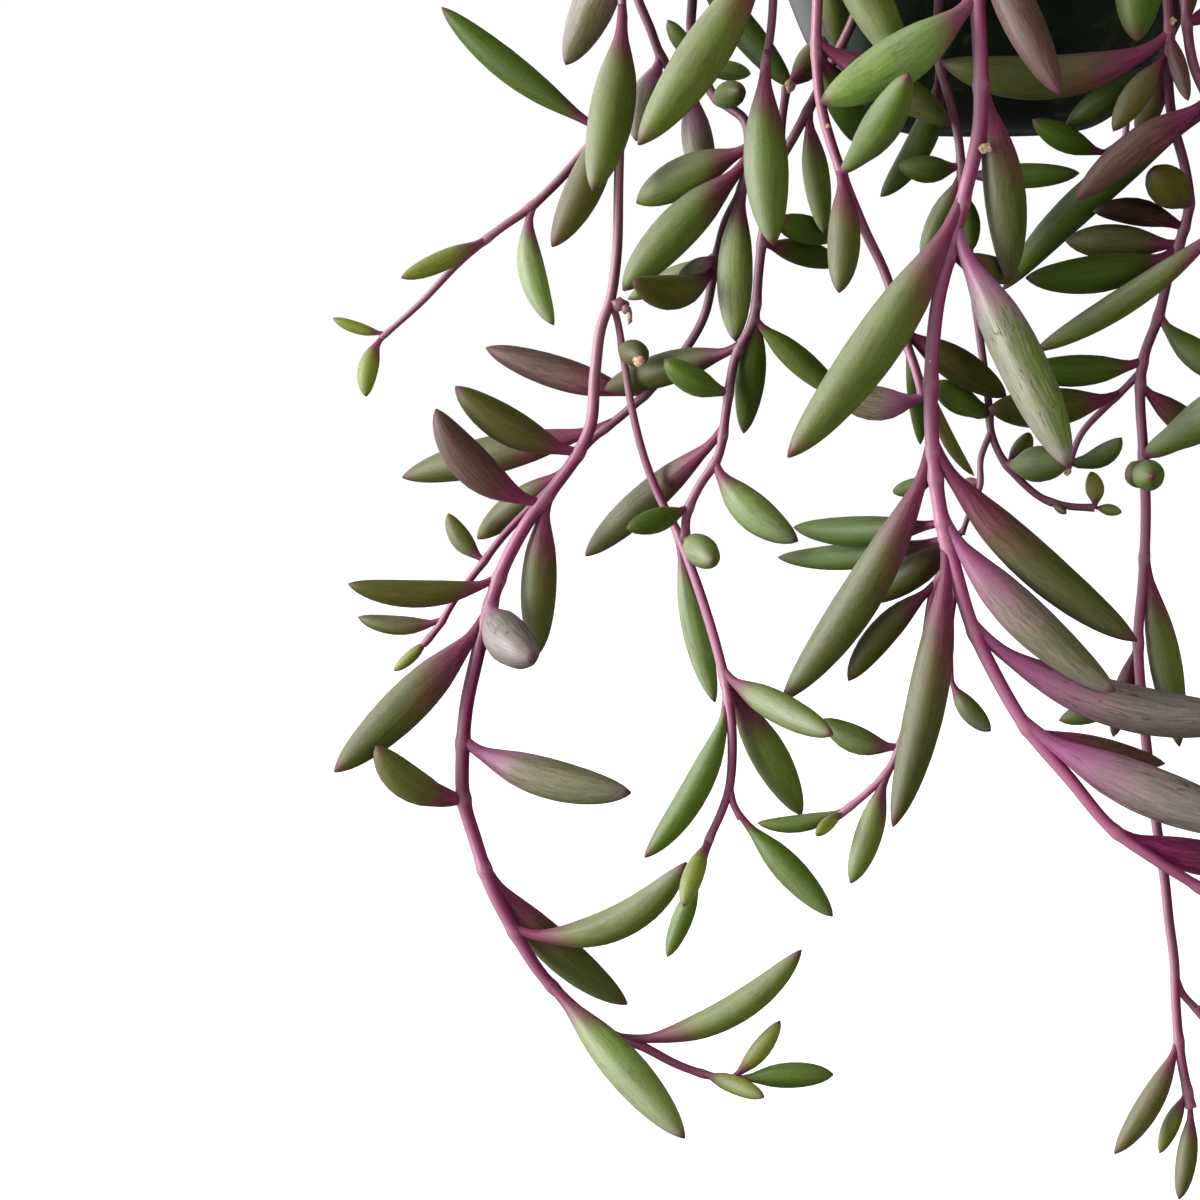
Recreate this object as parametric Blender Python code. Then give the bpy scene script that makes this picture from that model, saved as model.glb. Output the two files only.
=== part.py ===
# Hanging pot of trailing spindle-leaved succulent, with its soil and wire hanger.
# Built in metres, Z up. The origin is the seat of the hook, where the whole thing hangs.

import math
import random

import bmesh
import bpy
import numpy as np

for thing in list(bpy.data.objects):
    bpy.data.objects.remove(thing, do_unlink=True)

# Driving sizes, in millimetres
MM = 0.001
POT_HEIGHT = 80.0
POT_RIM_RADIUS = 50.0
POT_WALL = 3.0
FOOT_RADIUS = 13.6
DRAIN_RADIUS = 3.5
SOIL_TOP = 71.0
SOIL_GAP = 0.3
HOLE_DEPTH = 11.0
HANG_HEIGHT = 262.0
WIRE_RADIUS = 0.8
WIRE_ANGLES = {"wire_back": 91.0, "wire_left": 213.0, "wire_right": 333.0}
COLLAR_RADIUS = 5.0
COLLAR_LOW, COLLAR_HIGH = 226.0, 238.0
HOOK_RADIUS = 1.3
HOOK_BEND = 9.0

# Where the plant is looked at from, for the tables of places as seen
VIEW_DISTANCE = 600.0
VIEW_HEIGHT = -30.0
FRAME_RIGHT, FRAME_TOP = 38.5, 24.0

# Pot profile, radius and height above the foot
POT_OUTSIDE = [
    (13.6, 0.0), (17.4, 0.9), (21.0, 2.9), (25.4, 7.0), (30.2, 14.2), (34.0, 23.0),
    (39.4, 38.0), (44.9, 57.0), (48.9, 73.2), (50.0, 74.2), (50.0, 79.2), (49.2, 80.0),
]
POT_INSIDE = [(9.0, 3.6), (21.0, 9.5), (30.6, 25.0), (36.4, 39.5), (41.9, 57.0), (46.0, 71.4)]

# Each branch is (where it starts, thicknesses evenly spaced along it, route, leaves).
# A route point is (x, z, near): millimetres as seen in the plane of the pot's axis,
# and how far in front of that plane the stem really is.
# A leaf is (root x, root z, tip x, tip z, width, sag, tip forward, tone), as seen.
# Tones: g green, s green almost without a neck, c chalky, k chalky with a mauve top half,
# m flushed half-way, d deep green, n dark olive, o olive-brown, p purple-brown, b blackish,
# v pale mauve, w weathered mauve, r magenta, y young.
STEMS = [
    ("stem_front", 268.5, 31.0, [
        ("rim", (2.6, 2.7, 2.75, 2.4, 2.5, 2.25, 1.5), [
            (-2.3, 28, 53), (-1.6, 17, 53), (-1.2, 8, 53), (-1.5, 0, 53), (-3.5, -9, 53.5),
            (-5.9, -19, 54), (-8.1, -28, 54), (-9.1, -38, 54), (-9.2, -48, 54), (-8.5, -57, 54),
            (-7.1, -66, 54), (-4.9, -74, 54), (-2.0, -83.5, 54), (2.6, -93, 54.5), (7.6, -101.2, 55),
            (15.1, -110.0, 55), (21.9, -118.0, 55), (30.0, -123.8, 55), (37.0, -128.2, 54),
            (44.0, -133.5, 53), (52.0, -140.0, 52),
        ], [
            (-2.6, 37, 12.2, 6.3, 7.0, -0.9, 6, "p"),
            (-1.8, 22, -28.3, 5.3, 8.8, 2.0, 7, "c"),
            (-1.0, 7.5, 3.8, -25.0, 7.0, 1.9, 0, "m"),
            (-5.0, -11.5, -33.6, -55.0, 8.8, 2.1, 8, "g"),
            (-5.7, -17.9, 14.2, -56.6, 8.6, 1.2, 8, "k"),
            (-6.4, -20.5, 5.8, -24.2, 4.8, -0.4, -2, "o"),
            (-9.2, -42, -1.8, -58, 2.4, -1.9, -6, "o"),
            (-9.0, -54, -34.4, -97.0, 7.4, 2.8, -6, "m"),
            (-8.9, -53.5, 26, -86, 7.6, -2.9, -2, "m"),
            (-8.4, -58, -15.6, -60.8, 3.0, 0.3, -7, "d"),
            (-7.2, -66.5, 22.5, -94.8, 7.6, -2.4, 3, "v"),
            (-7.9, -65.5, -32.5, -67, 5.3, 1.5, -8, "d"),
            (-6.2, -70.5, -15.2, -118.6, 7.0, 2.0, 4, "m"),
            (-7.0, -69.5, -35.2, -72.2, 4.6, 1.7, -13, "d"),
            (-2.2, -84.5, 49, -98.5, 8.0, -7.0, 6, "w"),
            (7.0, -101, 50, -118.5, 8.6, -2.3, 5, "w"),
            (7.6, -102, 31, -107, 4.6, -0.8, -7, "p"),
            (22.5, -119.0, 50, -124.5, 6.0, -1.6, -6, "r"),
            (36, -128.5, 58, -127, 5.6, 1.0, 3, "o"),
            (44, -133.5, 60, -150, 5.0, 0.6, 4, "g"),
            (52, -140, 66, -143, 4.2, 0.4, 2, "y"),
            (52, -140, 57, -155, 4.0, 0.6, 2, "y"),
        ]),
        ("on", (1.6, 1.3), [
            (-5.6, -73, 53), (-8.3, -77, 49), (-10.0, -87, 47), (-12.5, -99, 47),
            (-15.8, -108.5, 47), (-19.5, -112.6, 47), (-25.0, -117.2, 47),
        ], [
            (-8.4, -77.5, -23, -93.4, 5.2, -1.7, -2, "n"),
            (-14.0, -105.6, -27.2, -100, 4.8, 1.9, -2, "g"),
            (-16.2, -109.6, -22.4, -128.6, 4.9, 0.5, 2, "g"),
            (-22.8, -115.6, -38.6, -118.3, 3.1, 1.8, 0, "s"),
            (-24.2, -117, -28.4, -120.4, 2.4, -0.3, 2, "y"),
        ]),
        ("on", (1.3, 0.9), [
            (-5.0, -75, 53), (-5.6, -84, 48), (-5.4, -93.5, 47),
        ], [(-5.4, -93, 1.4, -101.8, 3.8, -0.7, 3, "g")]),
    ]),
    ("stem_front_left", 240.0, 33.0, [
        ("rim", (2.2, 1.6), [
            (-28.9, 24, 46), (-29.1, 15, 46), (-28.4, 6, 46), (-27.1, 0.5, 46), (-24.7, -6.5, 46),
            (-20.8, -16, 45), (-17.0, -24, 45), (-14.2, -33.5, 46.5), (-11.7, -40.5, 48),
            (-10.6, -44.5, 48.5),
        ], [
            (-28.5, 44, -13.2, 10.5, 8.0, -1.6, -7, "g"),
            (-28.7, 36, -24.9, 13.2, 4.8, 0.3, -10, "g"),
            (-29.0, 15.5, -6.2, 1.4, 6.3, 0.8, -6, "m"),
            (-28.8, 13, -21.5, -1.8, 6.0, 0.8, -16, "d"),
            (-24.8, -6.3, -13.5, 10.0, 6.6, -1.5, 20, "s"),
            (-24.9, -6.0, -25.0, -26.9, 5.8, 0.9, 6, "m"),
            (-13.9, -34, 3.5, -44.5, 6.0, 0.2, -7, "n"),
            (-13.4, -35, -11.0, -52.7, 3.2, 0.8, -6, "d"),
            (-10.7, -44.3, -26.0, -43, 6.2, 2.7, 0, "v"),
        ]),
    ]),
    ("stem_left_inner", 229.0, 33.0, [
        ("rim", (2.1, 1.4), [
            (-36.4, 24, 40), (-37.0, 16, 40), (-37.9, 11, 41), (-38.3, 8, 41),
        ], [
            (-36.9, 33, -59.4, -1.7, 8.4, 1.0, 5, "g"),
            (-38.0, 12, -36.2, -18.8, 7.5, -1.0, 3, "g"),
        ]),
    ]),
    ("stem_left", 199.0, 31.0, [
        ("rim", (1.7, 1.5, 1.5, 1.9, 2.5, 2.4, 1.2), [
            (-62.2, 25, 19), (-61.9, 15, 20), (-62.4, 5, 20), (-62.8, -8, 21), (-63.1, -20, 22),
            (-64.2, -28, 23), (-65.9, -33, 24), (-66.9, -41, 25), (-67.6, -49.5, 26.5),
            (-69.8, -54.5, 27), (-74.5, -61, 27), (-79.0, -67, 27.5), (-83.2, -75, 28),
            (-85.6, -82.5, 28.5), (-87.8, -91, 29), (-89.5, -99, 29), (-90.2, -108, 29.5),
            (-90.0, -115, 30), (-88.0, -122, 30), (-85.3, -130, 31), (-81.0, -138.3, 31),
            (-76.4, -145.5, 31), (-71.0, -151, 31), (-64.0, -156, 31), (-58.6, -158.0, 31),
            (-52.2, -161.2, 31), (-45.5, -163.2, 31), (-41.5, -163.4, 31),
        ], [
            (-62.0, 35, -71.9, 12, 7.4, 0.6, 0, "v"),
            (-61.9, 20, -67.2, -9.5, 7.7, 1.2, 8, "g"),
            (-69.6, -54, -91.2, -43.0, 6.4, 2.2, 2, "n"),
            (-76.0, -63.0, -94.6, -46.9, 6.8, 4.0, 5, "p"),
            (-75.6, -62.5, -76.9, -89.5, 6.4, -0.6, -4, "m"),
            (-84.0, -77, -110.2, -77.4, 5.0, 2.8, 4, "n"),
            (-85.2, -81.0, -77.4, -90.2, 8.4, -1.8, 15, "w"),
            (-85.8, -83.5, -112.8, -110.5, 7.6, 0.6, 6, "m"),
            (-90.0, -104.4, -60.6, -113.4, 7.2, -2.3, 5, "v"),
            (-90.0, -115.5, -105.4, -105.8, 6.4, 3.4, 6, "o"),
            (-86.0, -127.5, -61.2, -150.6, 6.6, -2.0, -6, "m"),
            (-81.2, -138, -50.9, -125.4, 6.2, -7.0, 5, "g"),
            (-75.0, -147.5, -51.1, -174.1, 7.1, 0.2, 5, "c"),
            (-60.8, -157.4, -30.9, -140.4, 5.4, -5.2, 3, "g"),
            (-47.5, -162.8, -37.2, -166.5, 3.4, 0.3, 3, "y"),
            (-43.2, -163.0, -34.5, -152.9, 3.4, -0.7, 0, "y"),
            (-41.8, -163.4, -25.2, -162.2, 4.6, 0.4, -1, "s"),
        ]),
        ("on", (1.25, 1.4, 1.7, 1.7, 1.3), [
            (-64.0, -27.5, 23), (-63.0, -31.5, 22.5), (-61.9, -38, 23), (-60.4, -47, 24),
            (-58.2, -55.5, 24), (-55.4, -62.5, 24), (-52.8, -67.5, 25), (-50.2, -74, 28),
            (-47.6, -81.5, 34), (-45.4, -89, 41), (-43.9, -95.5, 45), (-43.0, -103, 46),
            (-43.4, -112, 46), (-44.8, -116.5, 46), (-47.0, -121.5, 46), (-48.6, -127.5, 46),
        ], [
            (-61.8, -36.8, -58.6, -38.0, 4.8, 0.2, 9, "n"),
            (-52.2, -69, -46.0, -97.4, 4.8, -0.8, 2, "c"),
            (-44.4, -93, -25.6, -102.8, 5.6, -0.4, 13, "g"),
            (-44.2, -94.5, -31.0, -116.8, 6.4, 0.4, -7, "g"),
            (-43.6, -97.5, -58.2, -124.7, 5.2, 3.0, 4, "s"),
            (-47.6, -121.6, -51.4, -133.2, 3.8, -0.5, 3, "y"),
            (-48.6, -127, -54.2, -142.1, 3.7, 0.0, -1, "s"),
        ]),
        ("on", (1.3, 1.2), [(-43.5, -112.5, 46), (-42.8, -115.0, 46), (-41.4, -117.6, 46)], [
            (-41.6, -117.2, -25.5, -134.4, 5.2, 0.0, 3, "s"),
        ]),
        ("on", (1.5, 1.7, 1.5, 1.3, 1.0), [
            (-62.4, 7.5, 20), (-65.0, 2.0, 16), (-68.5, -2.5, 15), (-72.5, -7.0, 16), (-78.0, -12.2, 17),
            (-83.5, -16.0, 18), (-90.0, -21.2, 18), (-97.0, -28.4, 18), (-101.5, -32.4, 18),
            (-104.2, -34.7, 18),
        ], [
            (-66.6, 0.8, -93.3, 21.9, 5.2, 1.4, -2, "d"),
            (-63.8, 5.2, -74.3, -19.0, 6.4, 1.4, 6, "o"),
            (-78.4, -12.5, -74.0, -32.4, 4.7, -2.6, 3, "c"),
            (-85.2, -17.6, -100.6, -24.3, 3.7, 0.4, 2, "y"),
            (-103.8, -34.0, -112.6, -31.2, 2.2, 0.6, 1, "y"),
            (-104.0, -34.6, -106.8, -44.8, 3.7, -1.2, 2, "y"),
        ]),
    ]),
    ("stem_left_behind", 190.5, 36.0, [
        ("rim", (1.9, 1.9, 1.7, 1.6, 1.5, 1.2), [
            (-50.2, 25, 8), (-50.4, 17.5, 12), (-48.7, 11, 17), (-46.4, 6.4, 21), (-43.6, 4.4, 24),
            (-41.2, 2.4, 25), (-40.5, -2.5, 26), (-41.6, -9.0, 26), (-44.5, -15, 25), (-46.2, -22, 23),
            (-48.1, -31.0, 20), (-52.3, -38, 17), (-57.2, -43.4, 15), (-62.8, -48.4, 14),
            (-67.6, -52.2, 14), (-72.6, -58.4, 15), (-78.6, -64.4, 17), (-83.0, -69, 18),
            (-87.0, -74.3, 19), (-91.4, -80.0, 20), (-94.3, -84.8, 20), (-97.0, -88.0, 20),
        ], [
            (-50.3, 29, -33.2, 7.9, 5.4, -0.4, 6, "d"),
            (-49.0, 12, -54.4, 19.4, 3.2, 0.3, -3, "g"),
            (-48.7, 11, -40.2, 10.2, 3.4, 0.3, -3, "c"),
            (-45.4, 6.4, -42.0, 7.4, 4.8, 0.1, 9, "d"),
            (-40.8, -2.6, -59.7, -11.6, 7.0, -0.7, -3, "g"),
            (-41.0, -5.0, -62.0, -26.5, 7.6, -1.0, 5, "g"),
            (-41.6, -9.5, -42.6, -35.2, 6.2, -0.9, 8, "c"),
            (-46.0, -20.6, -61.2, -28.0, 3.6, 0.0, -6, "g"),
            (-46.0, -21, -52.6, -24.4, 3.4, 0.2, 3, "v"),
            (-46.6, -23.5, -60.2, -24.7, 6.0, 3.8, 8, "n"),
            (-58.0, -44.2, -85.8, -36.3, 5.7, 0.8, -5, "p"),
            (-65.8, -50.6, -100.5, -58.8, 6.6, -0.2, -8, "m"),
            (-72.0, -57.8, -87.4, -69.4, 5.2, -0.6, -4, "o"),
            (-86.2, -73.2, -92.5, -65.0, 3.7, 1.2, -2, "o"),
            (-93.6, -83.8, -108.5, -83.2, 3.5, 1.6, -1, "o"),
            (-96.4, -87.2, -102.2, -92.6, 2.3, 0.2, 0, "y"),
        ]),
    ]),
    ("stem_left_short", 184.0, 30.0, [
        ("rim", (1.9, 1.6), [(-60.5, 27, 4), (-57.4, 18, 3), (-54.8, 12, 2), (-50.5, 8.6, 1)], [
            (-55.4, 13.2, -59.8, -1.0, 5.8, -0.5, 3, "v"),
            (-50.5, 8.8, -47.6, -9.0, 5.4, -0.4, 1, "v"),
        ]),
    ]),
    ("stem_under_left", 251.5, 35.0, [
        ("rim", (1.8, 1.6), [
            (-19.5, 30, 43), (-22.5, 20, 41), (-26.6, 11.5, 39), (-29.8, 5.2, 37), (-32.6, 0, 35),
            (-35.6, -5.5, 34), (-37.6, -14, 33), (-38.7, -23, 32), (-39.6, -31.5, 31), (-42.7, -38, 30),
            (-44.2, -47, 29), (-45.6, -55, 29), (-48.8, -60, 29), (-51.0, -65, 29), (-51.2, -69, 29),
        ], [
            (-30.4, 3.6, -27.6, -16.8, 4.6, 0.0, -6, "g"),
            (-37.6, -13.6, -25.2, -17.4, 5.0, -0.4, -6, "d"),
            (-38.2, -18, -24.8, -22, 4.6, 0.3, -10, "d"),
            (-39.3, -29, -41.2, -50.9, 5.1, 0.3, -5, "d"),
            (-39.6, -31, -24.5, -44.5, 4.7, -0.2, -4, "s"),
            (-42.0, -36.5, -65.2, -43.5, 5.8, -0.6, -12, "n"),
            (-43.8, -43.5, -54.9, -38.3, 5.0, 1.3, 3, "s"),
            (-44.8, -51, -68.5, -72.2, 5.8, -0.5, -24, "m"),
            (-45.8, -56, -31.8, -69.4, 6.2, -1.8, 4, "c"),
            (-50.4, -63.4, -61.4, -67.4, 4.3, 0.4, 6, "d"),
            (-51.2, -68.6, -46.2, -73.2, 5.6, 0.1, 11, "g"),
        ]),
        ("on", (1.3, 1.5), [(-34.8, -4.0, 34.3), (-34.9, 1.5, 33.5), (-34.1, 8.0, 33)], [
            (-34.2, 7.6, -27.8, 16.4, 4.8, -1.0, -7, "o"),
        ]),
    ]),
    ("stem_under", 261.0, 37.0, [
        ("rim", (2.0, 1.25), [
            (-8.3, 26, 43), (-8.6, 17, 42), (-8.0, 11, 41), (-6.3, 5, 41), (-4.9, -1, 40),
            (-4.3, -7, 40), (-3.5, -15, 40), (-2.2, -26, 39), (-0.8, -36, 38), (0.6, -46, 38),
            (1.0, -50.5, 38), (2.9, -55, 38), (5.5, -58.2, 38), (9.8, -61.8, 38), (14.2, -63.1, 38),
            (18.6, -63.3, 38),
        ], [
            (-8.1, 10.5, -18.0, -10.6, 5.0, 3.0, -18, "d"),
            (-4.4, -6.0, -15.0, -5.2, 4.7, 1.0, 0, "d"),
            (-4.3, -7.0, 15.4, -6.8, 4.4, -0.4, 3, "d"),
            (-4.2, -7.6, -10.9, -21.5, 4.7, 0.0, -4, "g"),
            (-4.0, -10, -3.0, -20, 4.4, 0.2, 4, "d"),
            (0.8, -48, -8.6, -42.0, 5.0, 0.6, 3, "s"),
            (3.4, -56.6, 13.9, -55.4, 6.4, -0.3, 4, "s"),
            (3.4, -55.6, 7.4, -50.6, 3.4, -0.8, -3, "o"),
            (18.0, -63.3, 17.9, -57.2, 3.2, -0.5, 1, "y"),
            (18.4, -63.3, 23.2, -64.1, 2.0, 0.1, 0, "y"),
            (10.6, -62.2, 13.8, -64.4, 1.5, 0.1, 1, "p"),
        ]),
        ("on", (1.2, 0.9), [
            (0.9, -50, 38), (-0.7, -55, 39), (-0.8, -60, 40), (-2.4, -64, 41), (-3.8, -68, 42),
        ], [(-0.8, -58.6, -4.6, -60.6, 3.2, 0.2, -2, "o"), (-3.6, -67.5, -20.5, -79.5, 6.0, 0.8, -6, "n")]),
    ]),
    ("stem_right_front", 299.0, 33.0, [
        ("rim", (1.8, 1.7, 1.75, 1.8, 1.7), [
            (29.5, 26, 44), (30.1, 17, 43), (30.0, 9, 41), (30.8, 2, 39), (33.0, -6, 38),
            (33.8, -12, 38), (32.6, -17.5, 38), (30.6, -23.5, 38), (28.9, -31, 38), (26.6, -37.5, 38),
            (26.0, -44, 38), (26.6, -53, 38), (27.2, -64, 38), (26.9, -75, 38), (26.2, -85, 38),
            (26.8, -95, 38), (28.1, -106, 38), (29.6, -117, 38), (31.2, -127, 38), (32.0, -134, 38),
            (33.0, -141, 38), (33.4, -149, 38), (34.4, -158, 38), (36.2, -166.5, 38),
        ], [
            (28.5, 41, 24.8, 15.2, 9.0, -2.2, 3, "d"),
            (30.0, 15.5, -8.0, 12.1, 7.6, 6.0, 2, "m"),
            (30.1, 17, 33.4, 5.2, 3.1, -0.2, 4, "p"),
            (30.0, 12, 13.0, 0.8, 4.8, -0.9, -6, "d"),
            (30.0, 12.5, 21.0, 0.2, 4.7, -0.6, 4, "o"),
            (30.0, 10.5, 25.2, -0.6, 4.4, -0.3, -2, "o"),
            (33.7, -11.6, 27.6, -6.6, 6.9, 0.2, 10, "n"),
            (32.7, -16.6, 17.8, -13.2, 4.7, -1.7, 1, "b"),
            (31.6, -19.6, 13.2, -18.2, 6.0, -0.2, -4, "n"),
            (31.3, -20.6, 6.6, -24.4, 6.5, 1.6, -5, "d"),
            (28.7, -31.5, 44.0, -42, 5.2, -1.8, 3, "s"),
            (26.4, -38.5, 6.0, -40, 5.6, 0.9, 4, "d"),
            (26.1, -43, 39.0, -52.5, 4.7, -0.4, -4, "m"),
            (26.6, -55, 47.0, -41, 7.2, -0.5, 6, "s"),
            (27.2, -57.4, 25.3, -57.4, 4.9, 0.1, 9, "o"),
            (27.3, -58.0, 28.2, -58.0, 5.4, 0.1, 13, "s"),
            (27.0, -72.5, 33.4, -104, 5.5, 0.4, -3, "g"),
            (26.2, -86, 22.2, -102.5, 3.8, -0.2, -2, "p"),
            (26.8, -95.5, 13.0, -99.8, 4.2, 0.3, -6, "g"),
            (33.4, -154.5, 23.3, -174.9, 4.4, 1.2, 3, "o"),
            (35.6, -164, 31, -174.6, 3.0, -0.3, -3, "y"),
            (36.2, -166, 34.4, -182.6, 3.7, 0.5, 3, "o"),
        ]),
        ("on", (1.3, 1.1), [(26.1, -40, 38), (24.0, -42.5, 37), (19.9, -46.6, 36), (16.2, -50.8, 36), (13.9, -57.0, 36)], [
            (22.0, -44.8, 0.6, -46.6, 6.8, 1.0, 6, "n"),
            (14.8, -56.0, 23.0, -51.4, 3.8, -1.8, 2, "s"),
        ]),
        ("on", (1.4, 1.0), [(33.2, -143.6, 38), (34.4, -146.6, 37.5), (36.9, -149.4, 37), (43, -158, 36)], [
            (36.6, -149.0, 49, -149, 4.0, 0.5, 2, "o"),
            (43, -158, 41.5, -172, 3.6, 0.4, 2, "y"),
            (43, -158, 52, -166, 3.2, 0.4, 0, "y"),
        ]),
        ("on", (1.2, 1.0), [(31.0, 1.5, 39), (25.5, 0.4, 37), (19.5, -3.6, 35.5)], [
            (20.0, -3.2, 7.5, 2.2, 4.6, 0.7, 0, "d"),
        ]),
    ]),
    ("stem_right_edge", 310.0, 36.0, [
        ("rim", (2.0, 1.5), [
            (32.8, 27, 39), (33.0, 18, 41), (34.2, 11, 43), (36.8, 5, 45), (39.6, -4, 46), (40.9, -16, 46),
            (41.4, -30, 46), (43.0, -46, 46), (45.0, -62, 46), (45.0, -80, 45), (43.5, -100, 44),
        ], [
            (32.9, 40, 32.9, 18.2, 4.2, 0.3, -5, "o"),
            (33.1, 17.6, 47.5, 23.5, 4.8, 0.5, 0, "p"),
            (36.6, 5.4, 15.0, -11.2, 6.1, -1.2, 3, "p"),
            (36.9, 4.0, 2.8, -26.4, 6.0, -3.2, -6, "d"),
            (40.8, -15.0, 8.2, -36.8, 4.8, 2.0, -2, "g"),
            (41.0, -20, 56, -24, 5.8, 0.6, 2, "g"),
            (41.6, -34, 52, -54, 6.0, 0.6, 3, "o"),
            (43.4, -48, 60, -58, 5.6, 0.6, 5, "g"),
            (44.4, -57, 48, -80, 6.0, 0.6, 5, "g"),
            (45.0, -66, 62, -74, 5.6, 0.6, 0, "p"),
            (45.0, -80, 62, -92, 5.2, 0.6, 3, "g"),
            (44.0, -94, 50, -110, 4.4, 0.6, 3, "y"),
            (43.5, -100, 40.5, -114, 3.8, 0.4, 2, "y"),
        ]),
    ]),
]

# Rules for what the view leaves out: leaves on the tops of the stems above, further
# trailing stems on the right, short ones over the back, and shoots in the crown
UPPER_SPACING = 13.0
RIGHT_STEMS = [(327.0, 128.0), (345.0, 190.0), (0.0, 152.0), (15.0, 215.0), (30.0, 134.0), (40.0, 172.0)]
BACK_STEMS = [
    (63.0, 84.0), (78.0, 66.0), (104.0, 70.0), (120.0, 52.0), (137.0, 48.0), (154.0, 50.0), (171.0, 46.0),
]
SHOOTS = 5
RULE_SEED = 20


def seen(x, z, near):
    """The real place of a point that is seen at x, z and lies near mm in front."""
    scale = (VIEW_DISTANCE - near) / VIEW_DISTANCE
    return np.array([x * scale, -near, VIEW_HEIGHT + (z - VIEW_HEIGHT) * scale])


def as_seen(places):
    """Where real places are seen in the plane of the pot's axis."""
    scale = VIEW_DISTANCE / (VIEW_DISTANCE + places[:, 1])
    return places[:, 0] * scale, VIEW_HEIGHT + (places[:, 2] - VIEW_HEIGHT) * scale


def pot_radius(height):
    """The pot's outside radius at heights above its foot, nothing outside them."""
    sizes = np.array(POT_OUTSIDE)
    return np.interp(height, sizes[:, 1], sizes[:, 0], left=-99.0, right=-99.0)


def smooth_route(points, step=1.5):
    """A smooth line through the points, with a place every step mm."""
    points = np.array(points, float)
    whole = np.vstack([2 * points[0] - points[1], points, 2 * points[-1] - points[-2]])
    pieces = []
    for i in range(1, len(whole) - 2):
        a, b, c, d = whole[i - 1:i + 3]
        knots = [0.0]
        for p, q in ((a, b), (b, c), (c, d)):
            knots.append(knots[-1] + max(np.linalg.norm(q - p), 0.01) ** 0.5)
        count = max(2, int(np.ceil(np.linalg.norm(c - b) / step)))
        for t in np.linspace(knots[1], knots[2], count, endpoint=False):
            ab = a + (b - a) * (t - knots[0]) / (knots[1] - knots[0])
            bc = b + (c - b) * (t - knots[1]) / (knots[2] - knots[1])
            cd = c + (d - c) * (t - knots[2]) / (knots[3] - knots[2])
            abc = ab + (bc - ab) * (t - knots[0]) / (knots[2] - knots[0])
            bcd = bc + (cd - bc) * (t - knots[1]) / (knots[3] - knots[1])
            pieces.append(abc + (bcd - abc) * (t - knots[1]) / (knots[2] - knots[1]))
    pieces.append(points[-1])
    return np.array(pieces)


def around(angle, radius, height):
    """A place at an angle round the pot's axis."""
    turn = math.radians(angle)
    return np.array([radius * math.cos(turn), radius * math.sin(turn), height])


def over_rim(angle, hole_radius, first):
    """From its hole in the soil, over the rim, towards the first place outside."""
    out = math.degrees(math.atan2(first[1], first[0]))
    turn = (out - angle + 180.0) % 360.0 - 180.0
    reach = max(54.6, min(58.0, math.hypot(first[0], first[1])))
    return [
        around(angle, hole_radius, SOIL_TOP - HOLE_DEPTH + 0.5),
        around(angle, hole_radius, SOIL_TOP - HOLE_DEPTH * 0.5),
        around(angle, hole_radius, SOIL_TOP + 1.5),
        around(angle + turn * 0.4, hole_radius + 6.0, SOIL_TOP + 11.0),
        around(angle + turn * 0.8, 46.5, POT_HEIGHT + 4.6),
        around(angle + turn, 52.2, POT_HEIGHT + 1.6),
        around(angle + turn, reach, POT_HEIGHT - 8.0),
    ]


SHAPE_AT = [0.0, 0.06, 0.13, 0.22, 0.34, 0.47, 0.60, 0.73, 0.84, 0.92, 0.97, 1.0]
SHAPE_IS = [0.26, 0.26, 0.33, 0.56, 0.84, 0.98, 1.0, 0.90, 0.71, 0.46, 0.24, 0.04]


def leaf_line(root, tip, sag, ts):
    """Places along a leaf that bows by the sag vector at its middle."""
    low = root + (tip - root) * 0.33 + sag * 1.33
    high = root + (tip - root) * 0.67 + sag * 1.33
    ts = np.asarray(ts)[:, None]
    return (
        root * (1 - ts) ** 3 + 3 * low * ts * (1 - ts) ** 2
        + 3 * high * ts ** 2 * (1 - ts) + tip * ts ** 3
    )


class Leaf:
    """One spindle leaf: root, tip, sag vector, thickest radius and tone."""

    def __init__(self, root, tip, sag, radius, tone):
        self.root, self.tip, self.sag = root, tip, sag
        self.radius, self.tone = radius, tone
        self.length = float(np.linalg.norm(tip - root))
        self.main = True

    def line(self, ts):
        return leaf_line(self.root, self.tip, self.sag, ts)

    def radii(self, ts):
        return self.radius * np.interp(ts, SHAPE_AT, SHAPE_IS)


LEAF_TESTS = np.linspace(0.08, 1.0, 18)
CLEAR = 0.45


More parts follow.
